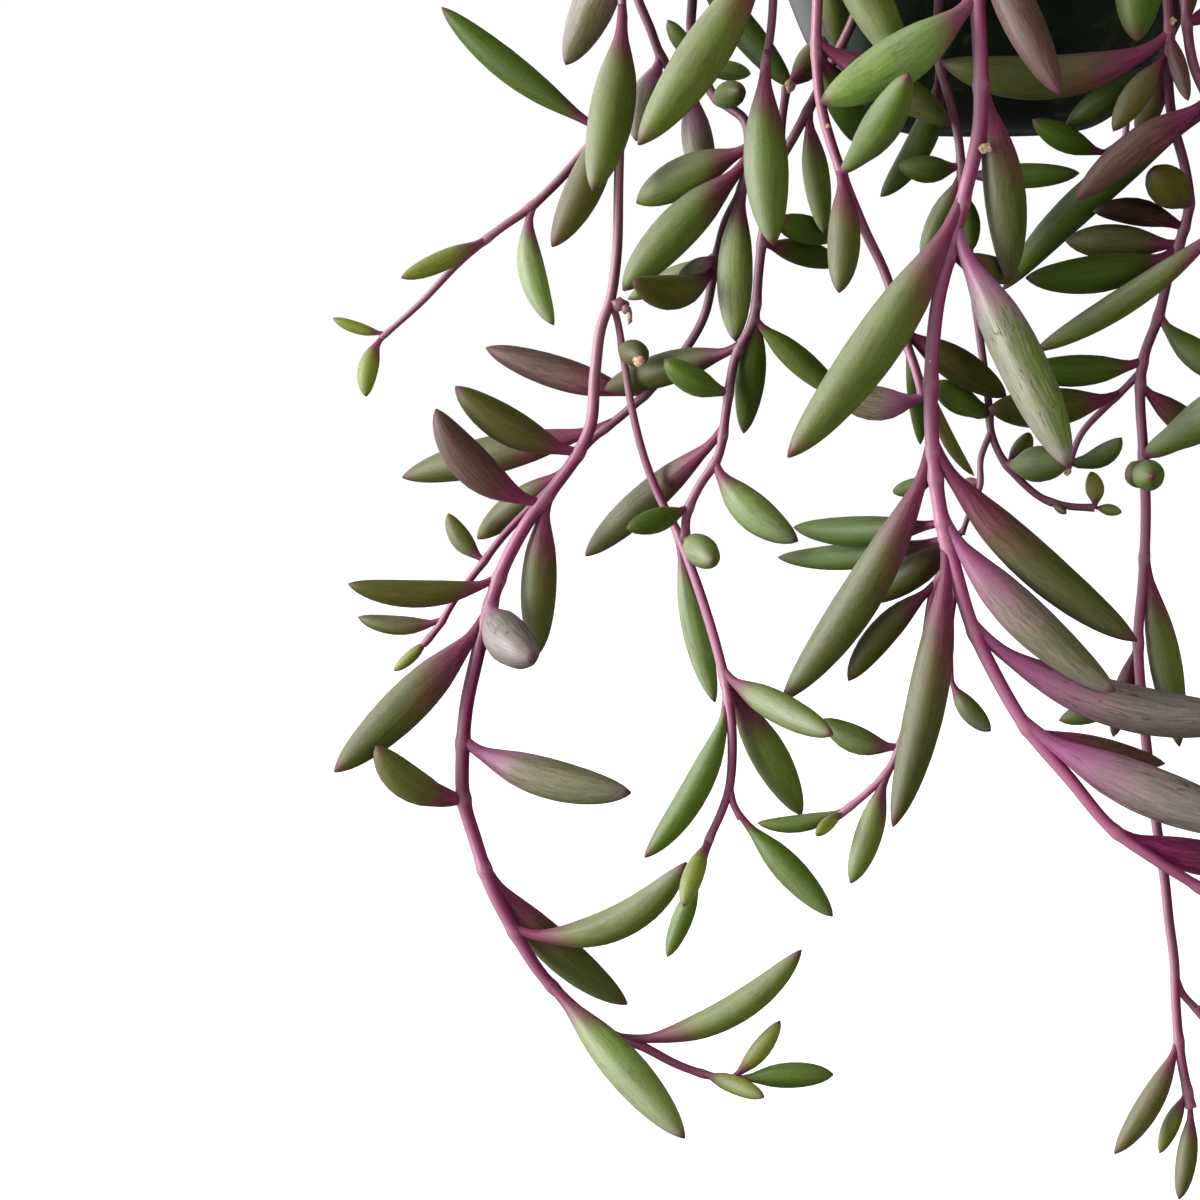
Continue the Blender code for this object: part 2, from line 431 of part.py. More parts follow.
class Crowd:
    """All solid places so far, each with its radius, its node and its owner."""

    def __init__(self):
        self.places = np.zeros((0, 3))
        self.radii = np.zeros(0)
        self.nodes = np.zeros(0, int)

    def add(self, places, radii, node):
        self.places = np.vstack([self.places, places])
        self.radii = np.concatenate([self.radii, radii])
        self.nodes = np.concatenate([self.nodes, np.full(len(places), node)])

    def room(self, leaf, node):
        """The least space round a leaf, in mm; below CLEAR it's too near something."""
        centres = leaf.line(LEAF_TESTS)
        radii = leaf.radii(LEAF_TESTS) * 1.06
        apart = np.linalg.norm(centres[:, None] - self.places[None], axis=2)
        apart = apart - radii[:, None] - self.radii[None]
        own = self.nodes == node
        near_root = LEAF_TESTS < 0.3
        apart[np.ix_(near_root, own)] = 99.0
        apart[:, own] = np.where(apart[:, own] > -0.2, 99.0, apart[:, own])
        least = apart.min() if apart.size else 99.0
        least = min(least, self.pot_room(centres, radii))
        return float(least)

    def pot_room(self, centres, radii):
        """Space to the pot's outside, its rim, its inner wall and the soil."""
        out = np.hypot(centres[:, 0], centres[:, 1])
        heights = centres[:, 2]
        wide = pot_radius(np.clip(heights, 0, POT_HEIGHT))
        outside = out - wide
        inside = np.minimum(heights - SOIL_TOP, POT_RIM_RADIUS - POT_WALL - 1.0 - out)
        free = np.where(out > wide - POT_WALL / 2, outside, inside)
        under = np.hypot(np.maximum(0, out - FOOT_RADIUS), -heights)
        free = np.where(heights < 0, under, free)
        to_rim = np.maximum(0, np.abs(out - 48.0) - 2.0)
        over = np.minimum(np.hypot(to_rim, heights - POT_HEIGHT), heights - SOIL_TOP)
        free = np.where(heights > POT_HEIGHT, over, free)
        return float((free - radii).min())


def hidden_or_outside(places):
    """Whether real places are out of the looked-at picture, or behind the pot."""
    x, z = as_seen(places)
    out_of_it = (x > FRAME_RIGHT) | (z > FRAME_TOP)
    behind = (places[:, 1] > 5) & (np.abs(x) < pot_radius(z) - 3.0)
    return bool(np.all(out_of_it | behind))


DEPTH_TRIES = [0, 2, -2, 4, -4, 6, -6, 8.5, -8.5, 11, -11, 14, -14, 18, -18]


def table_leaf(row, route_seen, route, nears, shift):
    """A leaf from its table row, with its tip moved shift mm nearer."""
    root_x, root_z, tip_x, tip_z, width, sag, forward, tone = row
    at = int(np.argmin((route_seen[0] - root_x) ** 2 + (route_seen[1] - root_z) ** 2))
    root = route[at]
    near = nears[at] + forward + shift
    tip = seen(tip_x, tip_z, near)
    scale = (VIEW_DISTANCE - (nears[at] + near) / 2) / VIEW_DISTANCE
    across = np.array([-(tip_z - root_z), 0.0, tip_x - root_x])
    across = across / max(1e-6, np.linalg.norm(across))
    return Leaf(root, tip, across * sag * scale * 0.75, width * scale / 2, tone)


def any_across(direction, turn):
    """A unit vector square to the direction, turned about it."""
    flat = np.cross(direction, [0.0, 0.0, 1.0])
    if np.linalg.norm(flat) < 0.05:
        flat = np.cross(direction, [1.0, 0.0, 0.0])
    flat /= np.linalg.norm(flat)
    other = np.cross(direction, flat)
    return flat * math.cos(turn) + other * math.sin(turn)


def rule_leaf(route, at, length, turn, spread, tone):
    """A leaf by rule: it leaves the stem at an angle and bends down by its weight."""
    ahead = route[min(at + 2, len(route) - 1)] - route[max(at - 2, 0)]
    ahead /= np.linalg.norm(ahead)
    side = any_across(ahead, turn)
    way = ahead * math.cos(spread) + side * math.sin(spread)
    way[2] -= 0.12
    way /= np.linalg.norm(way)
    tip = route[at] + way * length
    sag = np.cross(np.cross(way, [0.0, 0.0, -1.0]), way) * length * 0.05
    return Leaf(route[at], tip, sag, length * 0.082 + 0.55, tone)


def add_rule_leaves(crowd, node, route, stations, lengths, tones, dice, in_view_ok=False):
    """Leaves by rule at the stations, each turned until it has room."""
    made = []
    turn = dice.uniform(0, 6.28)
    for at, length, tone in zip(stations, lengths, tones):
        turn += 2.4
        spread = dice.uniform(0.75, 1.25)
        for attempt in range(14):
            shrink = 1.0 if attempt < 9 else 0.72
            leaf = rule_leaf(route, at, length * shrink, turn + attempt * 0.9, spread, tone)
            if crowd.room(leaf, node) < CLEAR:
                continue
            if not in_view_ok and not hidden_or_outside(leaf.line(LEAF_TESTS)):
                continue
            crowd.add(leaf.line(LEAF_TESTS), leaf.radii(LEAF_TESTS), node)
            leaf.main = at == stations[-1] or len(made) % 3 == 1
            made.append(leaf)
            break
    return made


def taper(route, widths):
    """Stem radii along a route from thicknesses evenly spaced along it."""
    return np.interp(np.linspace(0, 1, len(route)), np.linspace(0, 1, len(widths)), widths) / 2


def table_routes():
    """For every stem of the table, its branches as (route, radii, depths)."""
    found = []
    for name, angle, hole_radius, branches in STEMS:
        made = []
        for start, widths, points, rows in branches:
            real = [seen(*p) for p in points]
            if start == "rim":
                real = over_rim(angle, hole_radius, real[0]) + real
            else:
                parents = np.vstack([m[0] for m in made])
                real[0] = parents[np.argmin(np.linalg.norm(parents - real[0], axis=1))]
            route = smooth_route(real)
            scale = (VIEW_DISTANCE + route[:, 1].mean()) / VIEW_DISTANCE
            made.append((route, taper(route, [wide * scale for wide in widths])))
        found.append(made)
    return found


def trailing_route(angle, hole_radius, drop, dice):
    """A stem by rule: over the rim at its angle, then down with a slow wander."""
    points = over_rim(angle, hole_radius, around(angle, 57.0, 60.0))
    height, radius, turn = POT_HEIGHT - 8.0, 55.5, angle
    lean, drift = dice.uniform(1.0, 4.0), dice.uniform(-2.5, 2.5)
    while height > POT_HEIGHT - drop + 12:
        fall = min(14.0, height - (POT_HEIGHT - drop))
        height -= fall
        radius += lean * fall / 14.0
        lean *= 0.86
        turn += drift * fall / 14.0
        drift += dice.uniform(-1.1, 1.1)
        points.append(around(turn, radius, height))
    return smooth_route(points)


def shoot_route(angle, hole_radius, height, dice):
    """A short shoot that stands in the crown and leans outwards."""
    points = [
        around(angle, hole_radius, SOIL_TOP - HOLE_DEPTH + 0.5),
        around(angle, hole_radius, SOIL_TOP - HOLE_DEPTH * 0.4),
        around(angle, hole_radius, SOIL_TOP + 4.0),
        around(angle + dice.uniform(-8, 8), hole_radius + 2.0, SOIL_TOP + height * 0.55),
        around(angle + dice.uniform(-14, 14), hole_radius + 6.0, SOIL_TOP + height),
    ]
    return smooth_route(points)


def spaced(route, first, last, spacing, dice):
    """Stations along a route, from first to last mm along it, a spacing apart."""
    along = np.concatenate([[0], np.cumsum(np.linalg.norm(np.diff(route, axis=0), axis=1))])
    end = along[-1] if last is None else last
    wanted, stations = first, []
    while wanted < end:
        stations.append(int(np.searchsorted(along, wanted)))
        wanted += spacing * dice.uniform(0.85, 1.15)
    return [min(s, len(route) - 1) for s in stations]


def wire_route(angle):
    """A hanger wire: up inside the rim, out through its hole, then to the collar."""
    low = POT_HEIGHT - 13.5
    return smooth_route([
        around(angle, 40.6, SOIL_TOP + 3.4), around(angle, 41.4, low + 6.2),
        around(angle, 43.6, low + 3.2), around(angle, 47.0, low + 3.0),
        around(angle, 50.4, low + 3.6), around(angle, 52.0, low + 7.4),
        around(angle, 51.2, POT_HEIGHT + 4.0), around(angle, 44.5, POT_HEIGHT + 24.0),
        around(angle, 21.7, POT_HEIGHT + 90.0), around(angle, 7.6, COLLAR_LOW - 16.0),
        around(angle, 3.3, COLLAR_LOW - 3.0), around(angle, 2.6, COLLAR_LOW + 5.0),
    ])


class Sprig:
    """One node of the plant: its name, its branches and its leaves."""

    def __init__(self, name):
        self.name, self.branches, self.leaves, self.holes = name, [], [], []


def grow_plant():
    """All stems, then the leaves of the table, then the leaves by rule."""
    crowd = Crowd()
    sprigs = []
    table = table_routes()
    for index, (row, made) in enumerate(zip(STEMS, table)):
        sprig = Sprig(row[0])
        for route, radii in made:
            sprig.branches.append((route, radii))
            crowd.add(route, radii, index)
        sprigs.append(sprig)
    dice = random.Random(RULE_SEED)
    for number, (angle, drop) in enumerate(RIGHT_STEMS):
        sprig = Sprig("stem_right_" + str(number + 1))
        route = trailing_route(angle, dice.choice((27.0, 32.0, 36.0)), drop, dice)
        sprig.branches.append((route, taper(route, (2.1, 1.2))))
        sprigs.append(sprig)
    for number, (angle, drop) in enumerate(BACK_STEMS):
        sprig = Sprig("stem_back_" + str(number + 1))
        route = trailing_route(angle, dice.choice((27.0, 32.0, 36.0)), drop, dice)
        sprig.branches.append((route, taper(route, (2.1, 1.3))))
        sprigs.append(sprig)
    for number in range(SHOOTS):
        sprig = Sprig("shoot_" + str(number + 1))
        angle, out = number * 137.5 + 20.0, 6.0 + 3.1 * number
        route = shoot_route(angle, out, dice.uniform(24, 34), dice)
        sprig.branches.append((route, taper(route, (2.2, 1.4))))
        sprigs.append(sprig)
    for index, sprig in enumerate(sprigs[len(STEMS):], len(STEMS)):
        crowd.add(sprig.branches[0][0], sprig.branches[0][1], index)
    for angle in WIRE_ANGLES.values():
        route = wire_route(angle)
        crowd.add(route, np.full(len(route), WIRE_RADIUS + 0.3), 900)
    place_table_leaves(crowd, sprigs, table)
    place_rule_leaves(crowd, sprigs, dice)
    for sprig in sprigs:
        sprig.holes.append(sprig.branches[0][0][2])
    return sprigs


def place_table_leaves(crowd, sprigs, table):
    """The leaves of the table, each with its tip nearer or further until it's clear."""
    for index, (row, made) in enumerate(zip(STEMS, table)):
        for (start, widths, points, rows), (route, radii) in zip(row[3], made):
            route_seen, nears = as_seen(route), -route[:, 1]
            for leaf_row in rows:
                best = None
                for shift in DEPTH_TRIES:
                    leaf = table_leaf(leaf_row, route_seen, route, nears, shift)
                    room = crowd.room(leaf, index)
                    if best is None or room > best[0]:
                        best = (room, leaf)
                    if room >= CLEAR:
                        break
                leaf = best[1]
                leaf.main = leaf.length > 9.5
                crowd.add(leaf.line(LEAF_TESTS), leaf.radii(LEAF_TESTS), index)
                sprigs[index].leaves.append(leaf)


def place_rule_leaves(crowd, sprigs, dice):
    """Leaves on the tops of the table's stems, the other stems and the shoots."""
    for index, sprig in enumerate(sprigs):
        route = sprig.branches[0][0]
        count_from = 15.0
        if index < len(STEMS):
            outside = np.nonzero(as_seen(route)[1] > FRAME_TOP + 12)[0][-1]
            along = np.linalg.norm(np.diff(route[:outside + 1], axis=0), axis=1).sum()
            stations = spaced(route, count_from, along, UPPER_SPACING, dice)
            lengths = [dice.uniform(17, 27) for _ in stations]
        else:
            spacing = 12.5 if sprig.name.startswith("stem_right") else 10.5
            if sprig.name.startswith("shoot"):
                spacing = 7.5
            stations = spaced(route, count_from, None, spacing, dice)
            stations.append(len(route) - 1)
            whole = max(1, len(stations) - 1)
            lengths = [dice.uniform(20, 32) * (1.0 - 0.5 * (k / whole) ** 2.5) for k in range(len(stations))]
            if not sprig.name.startswith("stem_right"):
                lengths = [n * 0.72 for n in lengths]
        tones = [dice.choice("gsmgdonp") for _ in stations]
        if index >= len(STEMS):
            tones[-1] = "y"
        sprig.leaves += add_rule_leaves(crowd, index, route, stations, lengths, tones, dice)


# Solids


def material(name, colour, roughness, metallic=0.0):
    made = bpy.data.materials.new(name)
    made.use_nodes = True
    shader = made.node_tree.nodes["Principled BSDF"]
    shader.inputs["Base Color"].default_value = (*colour, 1.0)
    shader.inputs["Roughness"].default_value = roughness
    shader.inputs["Metallic"].default_value = metallic
    return made


def solid(name, verts, faces, look=None):
    """A mesh object from millimetre places, moved so that the hook seat is the origin."""
    mesh = bpy.data.meshes.new(name)
    places = [(x * MM, y * MM, (z - HANG_HEIGHT) * MM) for x, y, z in verts]
    mesh.from_pydata(places, [], faces)
    mesh.validate()
    made = bpy.data.objects.new(name, mesh)
    bpy.context.scene.collection.objects.link(made)
    if look:
        mesh.materials.append(look)
    return made


def apply_all(thing):
    """The thing with its modifiers applied."""
    ready = bpy.data.meshes.new_from_object(thing.evaluated_get(bpy.context.evaluated_depsgraph_get()))
    thing.modifiers.clear()
    thing.data = ready


def rings_along(line, radii, sides, cap_start=True, tip=False):
    """Verts and faces of a tube round a line; a tip ends it in one point."""
    ways = np.gradient(line, axis=0)
    ways /= np.linalg.norm(ways, axis=1)[:, None]
    across = any_across(ways[0], 0.0)
    verts, faces = [], []
    count = len(line) - 1 if tip else len(line)
    for i in range(count):
        across = across - ways[i] * np.dot(across, ways[i])
        across /= np.linalg.norm(across)
        other = np.cross(ways[i], across)
        for k in range(sides):
            turn = 2 * math.pi * k / sides
            verts.append(line[i] + (across * math.cos(turn) + other * math.sin(turn)) * radii[i])
    for i in range(count - 1):
        for k in range(sides):
            a, b = i * sides + k, i * sides + (k + 1) % sides
            faces.append((a, b, b + sides, a + sides))
    faces.append(tuple(reversed(range(sides))))
    last = (count - 1) * sides
    if tip:
        verts.append(line[-1])
        for k in range(sides):
            faces.append((last + k, last + (k + 1) % sides, len(verts) - 1))
    else:
        faces.append(tuple(range(last, last + sides)))
    return verts, faces


def thin_out(line, radii, slack):
    """The fewest places of a line that keep it within the slack."""
    keep = [0, len(line) - 1]

    def split(a, b):
        if b - a < 2:
            return
        ahead = (line[b] - line[a]) / max(1e-9, np.linalg.norm(line[b] - line[a]))
        away = line[a + 1:b] - line[a]
        away = np.linalg.norm(away - np.outer(away @ ahead, ahead), axis=1)
        most = int(np.argmax(away))
        if away[most] > slack:
            middle = a + 1 + most
            keep.append(middle)
            split(a, middle)
            split(middle, b)

    split(0, len(line) - 1)
    keep = sorted(keep)
    return line[keep], radii[keep]


# A few-sided ring needs this much more radius to look as wide as a round one
FULLER = {4: 1.13, 5: 1.07}


def stem_solid(name, route, radii):
    line, sizes = thin_out(route, radii, 0.6)
    return solid(name, *rings_along(line, sizes * FULLER[4], 4))


def leaf_solid(name, leaf):
    large = leaf.length > 23
    rings = [0.0, 0.17, 0.43, 0.80, 1.0] if large else [0.0, 0.24, 0.68, 1.0]
    sides = 5 if large else 4
    line, sizes = leaf.line(rings), leaf.radii(rings) * FULLER[sides]
    return solid(name, *rings_along(line, sizes, sides, tip=True))


def fuse(first, others, solver="EXACT"):
    """One Boolean union of the first with all the others, which are then removed."""
    group = bpy.data.collections.new(first.name + "_parts")
    bpy.context.scene.collection.children.link(group)
    for thing in others:
        bpy.context.scene.collection.objects.unlink(thing)
        group.objects.link(thing)
    union = first.modifiers.new("Fuse", "BOOLEAN")
    union.operation = "UNION"
    union.operand_type = "COLLECTION"
    union.collection = group
    union.solver = solver
    apply_all(first)
    for thing in list(group.objects):
        bpy.data.objects.remove(thing, do_unlink=True)
    bpy.data.collections.remove(group)


def sprig_node(sprig, look):
    """A leafy stem as one body: stem tube, side branches and spindle leaves."""
    whole = stem_solid(sprig.name, *sprig.branches[0])
    others = [stem_solid("branch", *b) for b in sprig.branches[1:]]
    others += [leaf_solid("leaf", leaf) for leaf in sprig.leaves if leaf.main]
    fuse(whole, others)
    whole.data.materials.clear()
    whole.data.materials.append(look)
    return whole


def turned(name, profile, sides, look):
    """A solid of revolution from a closed profile of (radius, height)."""
    verts, faces = [], []
    count = len(profile)
    for k in range(sides):
        turn = 2 * math.pi * k / sides
        for radius, height in profile:
            verts.append((radius * math.cos(turn), radius * math.sin(turn), height))
    for k in range(sides):
        for i in range(count):
            a, b = k * count + i, k * count + (i + 1) % count
            c, d = ((k + 1) % sides) * count + (i + 1) % count, ((k + 1) % sides) * count + i
            faces.append((a, d, c, b))
    made = solid(name, verts, faces, look)
    shell = bmesh.new()
    shell.from_mesh(made.data)
    bmesh.ops.remove_doubles(shell, verts=shell.verts, dist=1e-7)
    bmesh.ops.recalc_face_normals(shell, faces=shell.faces)
    shell.to_mesh(made.data)
    shell.free()
    return made


def cut(thing, cutters):
    """The thing with the cutters taken out of it."""
    group = bpy.data.collections.new(thing.name + "_cuts")
    bpy.context.scene.collection.children.link(group)
    for cutter in cutters:
        bpy.context.scene.collection.objects.unlink(cutter)
        group.objects.link(cutter)
    holes = thing.modifiers.new("Holes", "BOOLEAN")
    holes.operation = "DIFFERENCE"
    holes.operand_type = "COLLECTION"
    holes.collection = group
    holes.solver = "EXACT"
    apply_all(thing)
    for cutter in list(group.objects):
        bpy.data.objects.remove(cutter, do_unlink=True)
    bpy.data.collections.remove(group)


def make_pot(look):
    profile = [(DRAIN_RADIUS, 0.0)] + POT_OUTSIDE + [(47.4, 80.0), (46.7, 79.2)]
    profile += list(reversed(POT_INSIDE)) + [(DRAIN_RADIUS, 3.2)]
    pot = turned("pot", profile, 24, look)
    cutters = []
    for angle in WIRE_ANGLES.values():
        line = np.array([around(angle, 42.0, POT_HEIGHT - 10.4), around(angle, 54.0, POT_HEIGHT - 10.4)])
        cutters.append(solid("hole", *rings_along(line, np.array([1.7, 1.7]), 8)))
    cut(pot, cutters)
    return pot


def make_soil(look, sprigs):
    inner = [(r - SOIL_GAP, z + 0.35) for r, z in POT_INSIDE[:-1]]
    profile = [(0.0, POT_INSIDE[0][1] + 0.35)] + inner
    profile += [(45.0, SOIL_TOP - 1.6), (43.6, SOIL_TOP - 0.4), (0.0, SOIL_TOP)]
    soil = turned("soil", profile, 24, look)
    cutters = []
    for sprig in sprigs:
        route, radii = sprig.branches[0]
        centre = route[0]
        line = np.array([[centre[0], centre[1], SOIL_TOP - HOLE_DEPTH], [centre[0], centre[1], SOIL_TOP + 5]])
        size = radii[0] * 1.3 + 0.7
        cutters.append(solid("hole", *rings_along(line, np.array([size, size]), 5)))
    for angle in WIRE_ANGLES.values():
        foot = around(angle, 41.3, 0)
        line = np.array([[foot[0], foot[1], POT_HEIGHT - 13.0], [foot[0], foot[1], SOIL_TOP + 5]])
        cutters.append(solid("hole", *rings_along(line, np.array([4.4, 4.4]), 6)))
    cut(soil, cutters)
    return soil


def make_wire(name, angle, look):
    route = wire_route(angle)
    line, sizes = thin_out(route, np.full(len(route), WIRE_RADIUS), 0.25)
    wire = solid(name, *rings_along(line, sizes * 1.05, 6), look)
    return wire


def make_hook(look):
    """The collar that holds the wires, with the hook that rises from it."""
    collar = turned("hook", [
        (0.0, COLLAR_LOW), (COLLAR_RADIUS - 0.6, COLLAR_LOW), (COLLAR_RADIUS, COLLAR_LOW + 0.8),
        (COLLAR_RADIUS, COLLAR_HIGH - 2.4), (COLLAR_RADIUS - 2.0, COLLAR_HIGH - 0.6), (0.0, COLLAR_HIGH),
    ], 12, look)
    centre = HANG_HEIGHT - HOOK_BEND + HOOK_RADIUS
    points = [(0, 0, COLLAR_LOW + 9.0), (0, 0, COLLAR_HIGH + 1.5), (0, 0, centre - HOOK_BEND - 1.2)]
    for turn in range(232, -41, -16):
        angle = math.radians(turn)
        points.append((HOOK_BEND * math.cos(angle), 0, centre + HOOK_BEND * math.sin(angle)))
    route = smooth_route(points, 1.0)
    line, sizes = thin_out(route, np.full(len(route), HOOK_RADIUS), 0.16)
    arm = solid("arm", *rings_along(line, sizes * 1.04, 7), look)
    fuse(collar, [arm])
    cutters = []
    for angle in WIRE_ANGLES.values():
        line = np.array([around(angle, 3.05, COLLAR_LOW - 4.0), around(angle, 2.6, COLLAR_LOW + 6.0)])
        cutters.append(solid("hole", *rings_along(line, np.array([1.3, 1.3]), 8)))
    cut(collar, cutters)
    collar.data.materials.clear()
    collar.data.materials.append(look)
    return collar


def smooth(thing, angle):
    thing.data.shade_smooth()
    thing.data.set_sharp_from_angle(angle=math.radians(angle))


glaze = material("glaze", (0.006, 0.010, 0.007), 0.12)
earth = material("earth", (0.045, 0.028, 0.018), 0.95)
steel = material("steel", (0.55, 0.55, 0.54), 0.35, 1.0)
flesh = material("leaf_flesh", (0.10, 0.15, 0.05), 0.45)

plant = grow_plant()
smooth(make_pot(glaze), 35)
smooth(make_soil(earth, plant), 35)
for wire_name, wire_angle in WIRE_ANGLES.items():
    smooth(make_wire(wire_name, wire_angle, steel), 60)
smooth(make_hook(steel), 50)
for one in plant:
    look = flesh.copy()
    look.name = "flesh_" + one.name
    smooth(sprig_node(one, look), 60)
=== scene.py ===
# Looks of a hanging pot of trailing spindle-leaved succulent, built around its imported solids.
# Working places are in millimetres with the pot's foot at zero; meshes are in metres in the
# frame of the solids, whose origin is the seat of the hook.

import math
import random

import bmesh
import bpy
import numpy as np
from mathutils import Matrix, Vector, noise


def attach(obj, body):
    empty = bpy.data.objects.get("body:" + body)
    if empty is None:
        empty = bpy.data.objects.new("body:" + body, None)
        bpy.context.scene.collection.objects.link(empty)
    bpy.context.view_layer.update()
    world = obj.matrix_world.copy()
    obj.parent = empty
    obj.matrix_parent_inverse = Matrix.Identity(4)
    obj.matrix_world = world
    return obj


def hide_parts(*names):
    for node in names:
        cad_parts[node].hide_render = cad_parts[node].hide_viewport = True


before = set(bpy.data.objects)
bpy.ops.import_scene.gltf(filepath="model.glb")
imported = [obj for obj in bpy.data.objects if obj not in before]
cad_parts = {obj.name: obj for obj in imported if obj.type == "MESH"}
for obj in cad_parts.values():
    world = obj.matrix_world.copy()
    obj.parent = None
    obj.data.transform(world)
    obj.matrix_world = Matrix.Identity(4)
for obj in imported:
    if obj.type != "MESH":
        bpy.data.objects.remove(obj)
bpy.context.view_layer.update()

# Driving sizes, in millimetres
MM = 0.001
POT_HEIGHT = 80.0
POT_RIM_RADIUS = 50.0
POT_WALL = 3.0
FOOT_RADIUS = 13.6
DRAIN_RADIUS = 3.5
SOIL_TOP = 71.0
SOIL_GAP = 0.3
HOLE_DEPTH = 11.0
CRUMBS = 2600
HANG_HEIGHT = 262.0
WIRE_RADIUS = 0.8
EYE_HEIGHT, EYE_RADIUS = POT_HEIGHT - 10.4, 1.6
WIRE_ANGLES = {"wire_back": 91.0, "wire_left": 213.0, "wire_right": 333.0}
COLLAR_RADIUS = 5.0
COLLAR_LOW, COLLAR_HIGH = 226.0, 238.0
HOOK_RADIUS = 1.3
HOOK_BEND = 9.0

# Where the plant is looked at from, for the tables of places as seen
VIEW_DISTANCE = 600.0
VIEW_HEIGHT = -30.0
FRAME_RIGHT, FRAME_TOP = 38.5, 24.0

# Pot profile, radius and height above the foot
POT_OUTSIDE = [
    (13.6, 0.0), (17.4, 0.9), (21.0, 2.9), (25.4, 7.0), (30.2, 14.2), (34.0, 23.0),
    (39.4, 38.0), (44.9, 57.0), (48.9, 73.2), (50.0, 74.2), (50.0, 79.2), (49.2, 80.0),
]
POT_INSIDE = [(9.0, 3.6), (21.0, 9.5), (30.6, 25.0), (36.4, 39.5), (41.9, 57.0), (46.0, 71.4)]

